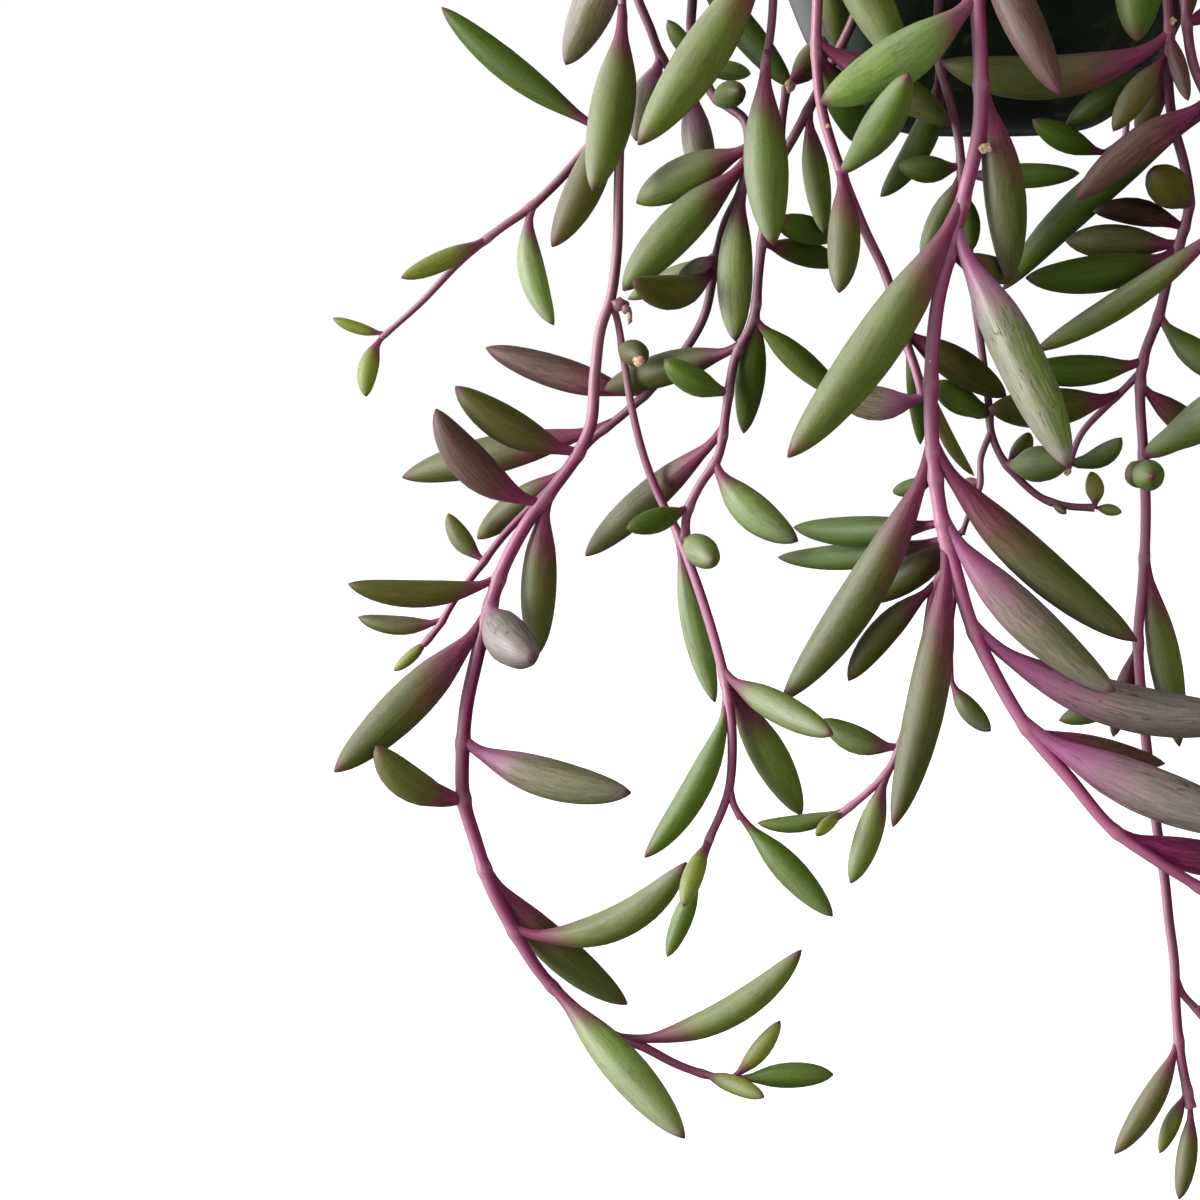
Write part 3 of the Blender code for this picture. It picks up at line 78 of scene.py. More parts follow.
# Each branch is (where it starts, thicknesses evenly spaced along it, route, leaves).
# A route point is (x, z, near): millimetres as seen in the plane of the pot's axis,
# and how far in front of that plane the stem really is.
# A leaf is (root x, root z, tip x, tip z, width, sag, tip forward, tone), as seen.
# Tones: g green, s green almost without a neck, c chalky, k chalky with a mauve top half,
# m flushed half-way, d deep green, which on leaves under and behind others also paints their shade, n dark
# olive, o olive-brown, p purple-brown, b blackish, v pale mauve, w weathered mauve, r magenta, y young.
STEMS = [
    ("stem_front", 268.5, 31.0, [
        ("rim", (2.6, 2.7, 2.75, 2.4, 2.5, 2.25, 1.5), [
            (-2.3, 28, 53), (-1.6, 17, 53), (-1.2, 8, 53), (-1.5, 0, 53), (-3.5, -9, 53.5), (-5.9, -19, 54),
            (-8.1, -28, 54), (-9.1, -38, 54), (-9.2, -48, 54), (-8.5, -57, 54), (-7.1, -66, 54),
            (-4.9, -74, 54), (-2.0, -83.5, 54), (2.6, -93, 54.5), (7.6, -101.2, 55), (15.1, -110.0, 55),
            (21.9, -118.0, 55), (30.0, -123.8, 55), (37.0, -128.2, 54), (44.0, -133.5, 53),
            (52.0, -140.0, 52),
        ], [
            (-2.6, 37, 12.2, 6.3, 7.0, -0.9, 6, "p"), (-1.8, 22, -28.3, 5.3, 8.8, 2.0, 7, "c"),
            (-1.0, 7.5, 3.8, -25.0, 7.0, 1.9, 0, "m"), (-5.0, -11.5, -33.6, -55.0, 8.8, 2.1, 8, "g"),
            (-5.7, -17.9, 14.2, -56.6, 8.6, 1.2, 8, "k"), (-6.4, -20.5, 5.8, -24.2, 4.8, -0.4, -2, "o"),
            (-9.2, -42, -1.8, -58, 2.4, -1.9, -6, "o"), (-9.0, -54, -34.4, -97.0, 7.4, 2.8, -6, "m"),
            (-8.9, -53.5, 26, -86, 7.6, -2.9, -2, "m"), (-8.4, -58, -15.6, -60.8, 3.0, 0.3, -7, "d"),
            (-7.2, -66.5, 22.5, -94.8, 7.6, -2.4, 3, "v"), (-7.9, -65.5, -32.5, -67, 5.3, 1.5, -8, "d"),
            (-6.2, -70.5, -15.2, -118.6, 7.0, 2.0, 4, "m"), (-7.0, -69.5, -35.2, -72.2, 4.6, 1.7, -13, "d"),
            (-2.2, -84.5, 49, -98.5, 8.0, -7.0, 6, "w"), (7.0, -101, 50, -118.5, 8.6, -2.3, 5, "w"),
            (7.6, -102, 31, -107, 4.6, -0.8, -7, "p"), (22.5, -119.0, 50, -124.5, 6.0, -1.6, -6, "r"),
            (36, -128.5, 58, -127, 5.6, 1.0, 3, "o"), (44, -133.5, 60, -150, 5.0, 0.6, 4, "g"),
            (52, -140, 66, -143, 4.2, 0.4, 2, "y"), (52, -140, 57, -155, 4.0, 0.6, 2, "y"),
        ]),
        ("on", (1.6, 1.3), [
            (-5.6, -73, 53), (-8.3, -77, 49), (-10.0, -87, 47), (-12.5, -99, 47), (-15.8, -108.5, 47),
            (-19.5, -112.6, 47), (-25.0, -117.2, 47),
        ], [
            (-8.4, -77.5, -23, -93.4, 5.2, -1.7, -2, "n"), (-14.0, -105.6, -27.2, -100, 4.8, 1.9, -2, "g"),
            (-16.2, -109.6, -22.4, -128.6, 4.9, 0.5, 2, "g"),
            (-22.8, -115.6, -38.6, -118.3, 3.1, 1.8, 0, "s"),
            (-24.2, -117, -28.4, -120.4, 2.4, -0.3, 2, "y"),
        ]),
        ("on", (1.3, 0.9), [
            (-5.0, -75, 53), (-5.6, -84, 48), (-5.4, -93.5, 47),
        ], [
            (-5.4, -93, 1.4, -101.8, 3.8, -0.7, 3, "g"),
        ]),
    ]),
    ("stem_front_left", 240.0, 33.0, [
        ("rim", (2.2, 1.6), [
            (-28.9, 24, 46), (-29.1, 15, 46), (-28.4, 6, 46), (-27.1, 0.5, 46), (-24.7, -6.5, 46),
            (-20.8, -16, 45), (-17.0, -24, 45), (-14.2, -33.5, 46.5), (-11.7, -40.5, 48),
            (-10.6, -44.5, 48.5),
        ], [
            (-28.5, 44, -13.2, 10.5, 8.0, -1.6, -7, "g"), (-28.7, 36, -24.9, 13.2, 4.8, 0.3, -10, "g"),
            (-29.0, 15.5, -6.2, 1.4, 6.3, 0.8, -6, "m"), (-28.8, 13, -21.5, -1.8, 6.0, 0.8, -16, "d"),
            (-24.8, -6.3, -13.5, 10.0, 6.6, -1.5, 20, "s"), (-24.9, -6.0, -25.0, -26.9, 5.8, 0.9, 6, "m"),
            (-13.9, -34, 3.5, -44.5, 6.0, 0.2, -7, "n"), (-13.4, -35, -11.0, -52.7, 3.2, 0.8, -6, "d"),
            (-10.7, -44.3, -26.0, -43, 6.2, 2.7, 0, "v"),
        ]),
    ]),
    ("stem_left_inner", 229.0, 33.0, [
        ("rim", (2.1, 1.4), [
            (-36.4, 24, 40), (-37.0, 16, 40), (-37.9, 11, 41), (-38.3, 8, 41),
        ], [
            (-36.9, 33, -59.4, -1.7, 8.4, 1.0, 5, "g"), (-38.0, 12, -36.2, -18.8, 7.5, -1.0, 3, "g"),
        ]),
    ]),
    ("stem_left", 199.0, 31.0, [
        ("rim", (1.7, 1.5, 1.5, 1.9, 2.5, 2.4, 1.2), [
            (-62.2, 25, 19), (-61.9, 15, 20), (-62.4, 5, 20), (-62.8, -8, 21), (-63.1, -20, 22),
            (-64.2, -28, 23), (-65.9, -33, 24), (-66.9, -41, 25), (-67.6, -49.5, 26.5), (-69.8, -54.5, 27),
            (-74.5, -61, 27), (-79.0, -67, 27.5), (-83.2, -75, 28), (-85.6, -82.5, 28.5), (-87.8, -91, 29),
            (-89.5, -99, 29), (-90.2, -108, 29.5), (-90.0, -115, 30), (-88.0, -122, 30), (-85.3, -130, 31),
            (-81.0, -138.3, 31), (-76.4, -145.5, 31), (-71.0, -151, 31), (-64.0, -156, 31),
            (-58.6, -158.0, 31), (-52.2, -161.2, 31), (-45.5, -163.2, 31), (-41.5, -163.4, 31),
        ], [
            (-62.0, 35, -71.9, 12, 7.4, 0.6, 0, "v"), (-61.9, 20, -67.2, -9.5, 7.7, 1.2, 8, "g"),
            (-69.6, -54, -91.2, -43.0, 6.4, 2.2, 2, "n"), (-76.0, -63.0, -94.6, -46.9, 6.8, 4.0, 5, "p"),
            (-75.6, -62.5, -76.9, -89.5, 6.4, -0.6, -4, "m"), (-84.0, -77, -110.2, -77.4, 5.0, 2.8, 4, "n"),
            (-85.2, -81.0, -77.4, -90.2, 8.4, -1.8, 15, "w"),
            (-85.8, -83.5, -112.8, -110.5, 7.6, 0.6, 6, "m"),
            (-90.0, -104.4, -60.6, -113.4, 7.2, -2.3, 5, "v"),
            (-90.0, -115.5, -105.4, -105.8, 6.4, 3.4, 6, "o"),
            (-86.0, -127.5, -61.2, -150.6, 6.6, -2.0, -6, "m"),
            (-81.2, -138, -50.9, -125.4, 6.2, -7.0, 5, "g"),
            (-75.0, -147.5, -51.1, -174.1, 7.1, 0.2, 5, "c"),
            (-60.8, -157.4, -30.9, -140.4, 5.4, -5.2, 3, "g"),
            (-47.5, -162.8, -37.2, -166.5, 3.4, 0.3, 3, "y"),
            (-43.2, -163.0, -34.5, -152.9, 3.4, -0.7, 0, "y"),
            (-41.8, -163.4, -25.2, -162.2, 4.6, 0.4, -1, "s"),
        ]),
        ("on", (1.25, 1.4, 1.7, 1.7, 1.3), [
            (-64.0, -27.5, 23), (-63.0, -31.5, 22.5), (-61.9, -38, 23), (-60.4, -47, 24),
            (-58.2, -55.5, 24), (-55.4, -62.5, 24), (-52.8, -67.5, 25), (-50.2, -74, 28),
            (-47.6, -81.5, 34), (-45.4, -89, 41), (-43.9, -95.5, 45), (-43.0, -103, 46), (-43.4, -112, 46),
            (-44.8, -116.5, 46), (-47.0, -121.5, 46), (-48.6, -127.5, 46),
        ], [
            (-61.8, -36.8, -58.6, -38.0, 4.8, 0.2, 9, "n"), (-52.2, -69, -46.0, -97.4, 4.8, -0.8, 2, "c"),
            (-44.4, -93, -25.6, -102.8, 5.6, -0.4, 13, "g"),
            (-44.2, -94.5, -31.0, -116.8, 6.4, 0.4, -7, "g"),
            (-43.6, -97.5, -58.2, -124.7, 5.2, 3.0, 4, "s"),
            (-47.6, -121.6, -51.4, -133.2, 3.8, -0.5, 3, "y"),
            (-48.6, -127, -54.2, -142.1, 3.7, 0.0, -1, "s"),
        ]),
        ("on", (1.3, 1.2), [
            (-43.5, -112.5, 46), (-42.8, -115.0, 46), (-41.4, -117.6, 46),
        ], [
            (-41.6, -117.2, -25.5, -134.4, 5.2, 0.0, 3, "s"),
        ]),
        ("on", (1.5, 1.7, 1.5, 1.3, 1.0), [
            (-62.4, 7.5, 20), (-65.0, 2.0, 16), (-68.5, -2.5, 15), (-72.5, -7.0, 16), (-78.0, -12.2, 17),
            (-83.5, -16.0, 18), (-90.0, -21.2, 18), (-97.0, -28.4, 18), (-101.5, -32.4, 18),
            (-104.2, -34.7, 18),
        ], [
            (-66.6, 0.8, -93.3, 21.9, 5.2, 1.4, -2, "d"), (-63.8, 5.2, -74.3, -19.0, 6.4, 1.4, 6, "o"),
            (-78.4, -12.5, -74.0, -32.4, 4.7, -2.6, 3, "c"),
            (-85.2, -17.6, -100.6, -24.3, 3.7, 0.4, 2, "y"),
            (-103.8, -34.0, -112.6, -31.2, 2.2, 0.6, 1, "y"),
            (-104.0, -34.6, -106.8, -44.8, 3.7, -1.2, 2, "y"),
        ]),
    ]),
    ("stem_left_behind", 190.5, 36.0, [
        ("rim", (1.9, 1.9, 1.7, 1.6, 1.5, 1.2), [
            (-50.2, 25, 8), (-50.4, 17.5, 12), (-48.7, 11, 17), (-46.4, 6.4, 21), (-43.6, 4.4, 24),
            (-41.2, 2.4, 25), (-40.5, -2.5, 26), (-41.6, -9.0, 26), (-44.5, -15, 25), (-46.2, -22, 23),
            (-48.1, -31.0, 20), (-52.3, -38, 17), (-57.2, -43.4, 15), (-62.8, -48.4, 14),
            (-67.6, -52.2, 14), (-72.6, -58.4, 15), (-78.6, -64.4, 17), (-83.0, -69, 18),
            (-87.0, -74.3, 19), (-91.4, -80.0, 20), (-94.3, -84.8, 20), (-97.0, -88.0, 20),
        ], [
            (-50.3, 29, -33.2, 7.9, 5.4, -0.4, 6, "d"), (-49.0, 12, -54.4, 19.4, 3.2, 0.3, -3, "g"),
            (-48.7, 11, -40.2, 10.2, 3.4, 0.3, -3, "c"), (-45.4, 6.4, -42.0, 7.4, 4.8, 0.1, 9, "d"),
            (-40.8, -2.6, -59.7, -11.6, 7.0, -0.7, -3, "g"), (-41.0, -5.0, -62.0, -26.5, 7.6, -1.0, 5, "g"),
            (-41.6, -9.5, -42.6, -35.2, 6.2, -0.9, 8, "c"), (-46.0, -20.6, -61.2, -28.0, 3.6, 0.0, -6, "g"),
            (-46.0, -21, -52.6, -24.4, 3.4, 0.2, 3, "v"), (-46.6, -23.5, -60.2, -24.7, 6.0, 3.8, 8, "n"),
            (-58.0, -44.2, -85.8, -36.3, 5.7, 0.8, -5, "p"),
            (-65.8, -50.6, -100.5, -58.8, 6.6, -0.2, -8, "m"),
            (-72.0, -57.8, -87.4, -69.4, 5.2, -0.6, -4, "o"),
            (-86.2, -73.2, -92.5, -65.0, 3.7, 1.2, -2, "o"),
            (-93.6, -83.8, -108.5, -83.2, 3.5, 1.6, -1, "o"),
            (-96.4, -87.2, -102.2, -92.6, 2.3, 0.2, 0, "y"),
        ]),
    ]),
    ("stem_left_short", 184.0, 30.0, [
        ("rim", (1.9, 1.6), [
            (-60.5, 27, 4), (-57.4, 18, 3), (-54.8, 12, 2), (-50.5, 8.6, 1),
        ], [
            (-55.4, 13.2, -59.8, -1.0, 5.8, -0.5, 3, "v"), (-50.5, 8.8, -47.6, -9.0, 5.4, -0.4, 1, "v"),
        ]),
    ]),
    ("stem_under_left", 251.5, 35.0, [
        ("rim", (1.8, 1.6), [
            (-19.5, 30, 43), (-22.5, 20, 41), (-26.6, 11.5, 39), (-29.8, 5.2, 37), (-32.6, 0, 35),
            (-35.6, -5.5, 34), (-37.6, -14, 33), (-38.7, -23, 32), (-39.6, -31.5, 31), (-42.7, -38, 30),
            (-44.2, -47, 29), (-45.6, -55, 29), (-48.8, -60, 29), (-51.0, -65, 29), (-51.2, -69, 29),
        ], [
            (-30.4, 3.6, -27.6, -16.8, 4.6, 0.0, -6, "g"), (-37.6, -13.6, -25.2, -17.4, 5.0, -0.4, -6, "d"),
            (-38.2, -18, -24.8, -22, 4.6, 0.3, -10, "d"), (-39.3, -29, -41.2, -50.9, 5.1, 0.3, -5, "d"),
            (-39.6, -31, -24.5, -44.5, 4.7, -0.2, -4, "s"),
            (-42.0, -36.5, -65.2, -43.5, 5.8, -0.6, -12, "n"),
            (-43.8, -43.5, -54.9, -38.3, 5.0, 1.3, 3, "s"), (-44.8, -51, -68.5, -72.2, 5.8, -0.5, -24, "m"),
            (-45.8, -56, -31.8, -69.4, 6.2, -1.8, 4, "c"), (-50.4, -63.4, -61.4, -67.4, 4.3, 0.4, 6, "d"),
            (-51.2, -68.6, -46.2, -73.2, 5.6, 0.1, 11, "g"),
        ]),
        ("on", (1.3, 1.5), [
            (-34.8, -4.0, 34.3), (-34.9, 1.5, 33.5), (-34.1, 8.0, 33),
        ], [
            (-34.2, 7.6, -27.8, 16.4, 4.8, -1.0, -7, "o"),
        ]),
    ]),
    ("stem_under", 261.0, 37.0, [
        ("rim", (2.0, 1.25), [
            (-8.3, 26, 43), (-8.6, 17, 42), (-8.0, 11, 41), (-6.3, 5, 41), (-4.9, -1, 40), (-4.3, -7, 40),
            (-3.5, -15, 40), (-2.2, -26, 39), (-0.8, -36, 38), (0.6, -46, 38), (1.0, -50.5, 38),
            (2.9, -55, 38), (5.5, -58.2, 38), (9.8, -61.8, 38), (14.2, -63.1, 38), (18.6, -63.3, 38),
        ], [
            (-8.1, 10.5, -18.0, -10.6, 5.0, 3.0, -18, "d"), (-4.4, -6.0, -15.0, -5.2, 4.7, 1.0, 0, "d"),
            (-4.3, -7.0, 15.4, -6.8, 4.4, -0.4, 3, "d"), (-4.2, -7.6, -10.9, -21.5, 4.7, 0.0, -4, "g"),
            (-4.0, -10, -3.0, -20, 4.4, 0.2, 4, "d"), (0.8, -48, -8.6, -42.0, 5.0, 0.6, 3, "s"),
            (3.4, -56.6, 13.9, -55.4, 6.4, -0.3, 4, "s"), (3.4, -55.6, 7.4, -50.6, 3.4, -0.8, -3, "o"),
            (18.0, -63.3, 17.9, -57.2, 3.2, -0.5, 1, "y"), (18.4, -63.3, 23.2, -64.1, 2.0, 0.1, 0, "y"),
            (10.6, -62.2, 13.8, -64.4, 1.5, 0.1, 1, "p"),
        ]),
        ("on", (1.2, 0.9), [
            (0.9, -50, 38), (-0.7, -55, 39), (-0.8, -60, 40), (-2.4, -64, 41), (-3.8, -68, 42),
        ], [
            (-0.8, -58.6, -4.6, -60.6, 3.2, 0.2, -2, "o"), (-3.6, -67.5, -20.5, -79.5, 6.0, 0.8, -6, "n"),
        ]),
    ]),
    ("stem_right_front", 299.0, 33.0, [
        ("rim", (1.8, 1.7, 1.75, 1.8, 1.7), [
            (29.5, 26, 44), (30.1, 17, 43), (30.0, 9, 41), (30.8, 2, 39), (33.0, -6, 38), (33.8, -12, 38),
            (32.6, -17.5, 38), (30.6, -23.5, 38), (28.9, -31, 38), (26.6, -37.5, 38), (26.0, -44, 38),
            (26.6, -53, 38), (27.2, -64, 38), (26.9, -75, 38), (26.2, -85, 38), (26.8, -95, 38),
            (28.1, -106, 38), (29.6, -117, 38), (31.2, -127, 38), (32.0, -134, 38), (33.0, -141, 38),
            (33.4, -149, 38), (34.4, -158, 38), (36.2, -166.5, 38),
        ], [
            (28.5, 41, 24.8, 15.2, 9.0, -2.2, 3, "d"), (30.0, 15.5, -8.0, 12.1, 7.6, 6.0, 2, "m"),
            (30.1, 17, 33.4, 5.2, 3.1, -0.2, 4, "p"), (30.0, 12, 13.0, 0.8, 4.8, -0.9, -6, "d"),
            (30.0, 12.5, 21.0, 0.2, 4.7, -0.6, 4, "o"), (30.0, 10.5, 25.2, -0.6, 4.4, -0.3, -2, "o"),
            (33.7, -11.6, 27.6, -6.6, 6.9, 0.2, 10, "n"), (32.7, -16.6, 17.8, -13.2, 4.7, -1.7, 1, "b"),
            (31.6, -19.6, 13.2, -18.2, 6.0, -0.2, -4, "n"), (31.3, -20.6, 6.6, -24.4, 6.5, 1.6, -5, "d"),
            (28.7, -31.5, 44.0, -42, 5.2, -1.8, 3, "s"), (26.4, -38.5, 6.0, -40, 5.6, 0.9, 4, "d"),
            (26.1, -43, 39.0, -52.5, 4.7, -0.4, -4, "m"), (26.6, -55, 47.0, -41, 7.2, -0.5, 6, "s"),
            (27.2, -57.4, 25.3, -57.4, 4.9, 0.1, 9, "o"), (27.3, -58.0, 28.2, -58.0, 5.4, 0.1, 13, "s"),
            (27.0, -72.5, 33.4, -104, 5.5, 0.4, -3, "g"), (26.2, -86, 22.2, -102.5, 3.8, -0.2, -2, "p"),
            (26.8, -95.5, 13.0, -99.8, 4.2, 0.3, -6, "g"), (33.4, -154.5, 23.3, -174.9, 4.4, 1.2, 3, "o"),
            (35.6, -164, 31, -174.6, 3.0, -0.3, -3, "y"), (36.2, -166, 34.4, -182.6, 3.7, 0.5, 3, "o"),
        ]),
        ("on", (1.3, 1.1), [
            (26.1, -40, 38), (24.0, -42.5, 37), (19.9, -46.6, 36), (16.2, -50.8, 36), (13.9, -57.0, 36),
        ], [
            (22.0, -44.8, 0.6, -46.6, 6.8, 1.0, 6, "n"), (14.8, -56.0, 23.0, -51.4, 3.8, -1.8, 2, "s"),
        ]),
        ("on", (1.4, 1.0), [
            (33.2, -143.6, 38), (34.4, -146.6, 37.5), (36.9, -149.4, 37), (43, -158, 36),
        ], [
            (36.6, -149.0, 49, -149, 4.0, 0.5, 2, "o"), (43, -158, 41.5, -172, 3.6, 0.4, 2, "y"),
            (43, -158, 52, -166, 3.2, 0.4, 0, "y"),
        ]),
        ("on", (1.2, 1.0), [
            (31.0, 1.5, 39), (25.5, 0.4, 37), (19.5, -3.6, 35.5),
        ], [
            (20.0, -3.2, 7.5, 2.2, 4.6, 0.7, 0, "d"),
        ]),
    ]),
    ("stem_right_edge", 310.0, 36.0, [
        ("rim", (2.0, 1.5), [
            (32.8, 27, 39), (33.0, 18, 41), (34.2, 11, 43), (36.8, 5, 45), (39.6, -4, 46), (40.9, -16, 46),
            (41.4, -30, 46), (43.0, -46, 46), (45.0, -62, 46), (45.0, -80, 45), (43.5, -100, 44),
        ], [
            (32.9, 40, 32.9, 18.2, 4.2, 0.3, -5, "o"), (33.1, 17.6, 47.5, 23.5, 4.8, 0.5, 0, "p"),
            (36.6, 5.4, 15.0, -11.2, 6.1, -1.2, 3, "p"), (36.9, 4.0, 2.8, -26.4, 6.0, -3.2, -6, "d"),
            (40.8, -15.0, 8.2, -36.8, 4.8, 2.0, -2, "g"), (41.0, -20, 56, -24, 5.8, 0.6, 2, "g"),
            (41.6, -34, 52, -54, 6.0, 0.6, 3, "o"), (43.4, -48, 60, -58, 5.6, 0.6, 5, "g"),
            (44.4, -57, 48, -80, 6.0, 0.6, 5, "g"), (45.0, -66, 62, -74, 5.6, 0.6, 0, "p"),
            (45.0, -80, 62, -92, 5.2, 0.6, 3, "g"), (44.0, -94, 50, -110, 4.4, 0.6, 3, "y"),
            (43.5, -100, 40.5, -114, 3.8, 0.4, 2, "y"),
        ]),
    ]),
]

# Rules for what the view leaves out: leaves on the tops of the stems above, further
# trailing stems on the right, short ones over the back, and shoots in the crown
FIRST_LEAF = 15.0
UPPER_SPACING = 13.0
LEAF_SPACING = {"stem_right": 12.5, "stem_back": 10.5, "shoot": 7.5}
RIGHT_STEMS = [(327.0, 128.0), (345.0, 190.0), (0.0, 152.0), (15.0, 215.0), (30.0, 134.0), (40.0, 172.0)]
BACK_STEMS = [
    (63.0, 84.0), (78.0, 66.0), (104.0, 70.0), (120.0, 52.0), (137.0, 48.0), (154.0, 50.0), (171.0, 46.0),
]
SHOOTS = 5
HOLE_RADII = (27.0, 32.0, 36.0)
RULE_SEED = 20
# How far out a stem crosses the rim, and how far out it then hangs, least and most
RIM_CROSSING = 52.2
HANGS_OUT = (54.6, 58.0)
# How far a trailing stem goes between two turns of its wander
STRIDE = 14.0
# Turn from one leaf to the next, and the spread of leaves from their stem, in radians
LEAF_TURN = 2.4
LEAF_SPREAD = (0.75, 1.25)
# Stands for no limit near, and for a crowd member that isn't a sprig
FAR = 99.0
NO_SPRIG = 900


def seen(x, z, near):
    """The real place of a point that is seen at x, z and lies near mm in front."""
    scale = (VIEW_DISTANCE - near) / VIEW_DISTANCE
    return np.array([x * scale, -near, VIEW_HEIGHT + (z - VIEW_HEIGHT) * scale])


def as_seen(places):
    """Where real places are seen in the plane of the pot's axis."""
    scale = VIEW_DISTANCE / (VIEW_DISTANCE + places[:, 1])
    return places[:, 0] * scale, VIEW_HEIGHT + (places[:, 2] - VIEW_HEIGHT) * scale


def pot_radius(height):
    """The pot's outside radius at heights above its foot, nothing outside them."""
    sizes = np.array(POT_OUTSIDE)
    return np.interp(height, sizes[:, 1], sizes[:, 0], left=-FAR, right=-FAR)


def smooth_route(points, step=1.5):
    """A smooth line through the points, with a place every step mm."""
    points = np.array(points, float)
    whole = np.vstack([2 * points[0] - points[1], points, 2 * points[-1] - points[-2]])
    pieces = []
    for i in range(1, len(whole) - 2):
        a, b, c, d = whole[i - 1:i + 3]
        knots = [0.0]
        for p, q in ((a, b), (b, c), (c, d)):
            knots.append(knots[-1] + max(np.linalg.norm(q - p), 0.01) ** 0.5)
        count = max(2, int(np.ceil(np.linalg.norm(c - b) / step)))
        for t in np.linspace(knots[1], knots[2], count, endpoint=False):
            ab = a + (b - a) * (t - knots[0]) / (knots[1] - knots[0])
            bc = b + (c - b) * (t - knots[1]) / (knots[2] - knots[1])
            cd = c + (d - c) * (t - knots[2]) / (knots[3] - knots[2])
            abc = ab + (bc - ab) * (t - knots[0]) / (knots[2] - knots[0])
            bcd = bc + (cd - bc) * (t - knots[1]) / (knots[3] - knots[1])
            pieces.append(abc + (bcd - abc) * (t - knots[1]) / (knots[2] - knots[1]))
    pieces.append(points[-1])
    return np.array(pieces)


def around(angle, radius, height):
    """A place at an angle round the pot's axis."""
    turn = math.radians(angle)
    return np.array([radius * math.cos(turn), radius * math.sin(turn), height])


def over_rim(angle, hole_radius, first):
    """From its hole in the soil, over the rim, towards the first place outside."""
    out = math.degrees(math.atan2(first[1], first[0]))
    turn = (out - angle + 180.0) % 360.0 - 180.0
    reach = max(HANGS_OUT[0], min(HANGS_OUT[1], math.hypot(first[0], first[1])))
    return [
        around(angle, hole_radius, SOIL_TOP - HOLE_DEPTH + 0.5),
        around(angle, hole_radius, SOIL_TOP - HOLE_DEPTH * 0.5),
        around(angle, hole_radius, SOIL_TOP + 1.5),
        around(angle + turn * 0.4, hole_radius + 6.0, SOIL_TOP + 11.0),
        around(angle + turn * 0.8, 46.5, POT_HEIGHT + 4.6),
        around(angle + turn, RIM_CROSSING, POT_HEIGHT + 1.6),
        around(angle + turn, reach, POT_HEIGHT - 8.0),
    ]


SHAPE_AT = [0.0, 0.06, 0.13, 0.22, 0.34, 0.47, 0.60, 0.73, 0.84, 0.92, 0.97, 1.0]
SHAPE_IS = [0.26, 0.26, 0.33, 0.56, 0.84, 0.98, 1.0, 0.90, 0.71, 0.46, 0.24, 0.04]


def leaf_line(root, tip, sag, ts):
    """Places along a leaf that bows by the sag vector at its middle."""
    low = root + (tip - root) * 0.33 + sag * 1.33
    high = root + (tip - root) * 0.67 + sag * 1.33
    ts = np.asarray(ts)[:, None]
    return (
        root * (1 - ts) ** 3 + 3 * low * ts * (1 - ts) ** 2
        + 3 * high * ts ** 2 * (1 - ts) + tip * ts ** 3
    )


class Leaf:
    """One spindle leaf: root, tip, sag vector, thickest radius and tone."""

    def __init__(self, root, tip, sag, radius, tone):
        self.root, self.tip, self.sag = root, tip, sag
        self.radius, self.tone = radius, tone
        self.length = float(np.linalg.norm(tip - root))

    def line(self, ts):
        return leaf_line(self.root, self.tip, self.sag, ts)

    def radii(self, ts):
        return self.radius * np.interp(ts, SHAPE_AT, SHAPE_IS)


LEAF_TESTS = np.linspace(0.08, 1.0, 18)
CLEAR = 0.45


class Crowd:
    """All solid places so far, each with its radius, its node and its owner."""

    def __init__(self):
        self.places = np.zeros((0, 3))
        self.radii = np.zeros(0)
        self.nodes = np.zeros(0, int)

    def add(self, places, radii, node):
        self.places = np.vstack([self.places, places])
        self.radii = np.concatenate([self.radii, radii])
        self.nodes = np.concatenate([self.nodes, np.full(len(places), node)])

    def room(self, leaf, node):
        """The least space round a leaf, in mm; below CLEAR it's too near something."""
        centres = leaf.line(LEAF_TESTS)
        radii = leaf.radii(LEAF_TESTS) * 1.06
        apart = np.linalg.norm(centres[:, None] - self.places[None], axis=2)
        apart = apart - radii[:, None] - self.radii[None]
        own = self.nodes == node
        near_root = LEAF_TESTS < 0.3
        apart[np.ix_(near_root, own)] = FAR
        apart[:, own] = np.where(apart[:, own] > -0.2, FAR, apart[:, own])
        least = apart.min() if apart.size else FAR
        least = min(least, self.pot_room(centres, radii))
        return float(least)

    def pot_room(self, centres, radii):
        """Space to the pot's outside, its rim, its inner wall and the soil."""
        out = np.hypot(centres[:, 0], centres[:, 1])
        heights = centres[:, 2]
        wide = pot_radius(np.clip(heights, 0, POT_HEIGHT))
        outside = out - wide
        inside = np.minimum(heights - SOIL_TOP, POT_RIM_RADIUS - POT_WALL - 1.0 - out)
        free = np.where(out > wide - POT_WALL / 2, outside, inside)
        under = np.hypot(np.maximum(0, out - FOOT_RADIUS), -heights)
        free = np.where(heights < 0, under, free)
        to_rim = np.maximum(0, np.abs(out - 48.0) - 2.0)
        over = np.minimum(np.hypot(to_rim, heights - POT_HEIGHT), heights - SOIL_TOP)
        free = np.where(heights > POT_HEIGHT, over, free)
        return float((free - radii).min())


def hidden_or_outside(places):
    """Whether real places are out of the looked-at picture, or behind the pot."""
    x, z = as_seen(places)
    out_of_it = (x > FRAME_RIGHT) | (z > FRAME_TOP)
    behind = (places[:, 1] > 5) & (np.abs(x) < pot_radius(z) - 3.0)
    return bool(np.all(out_of_it | behind))


DEPTH_TRIES = [0, 2, -2, 4, -4, 6, -6, 8.5, -8.5, 11, -11, 14, -14, 18, -18]


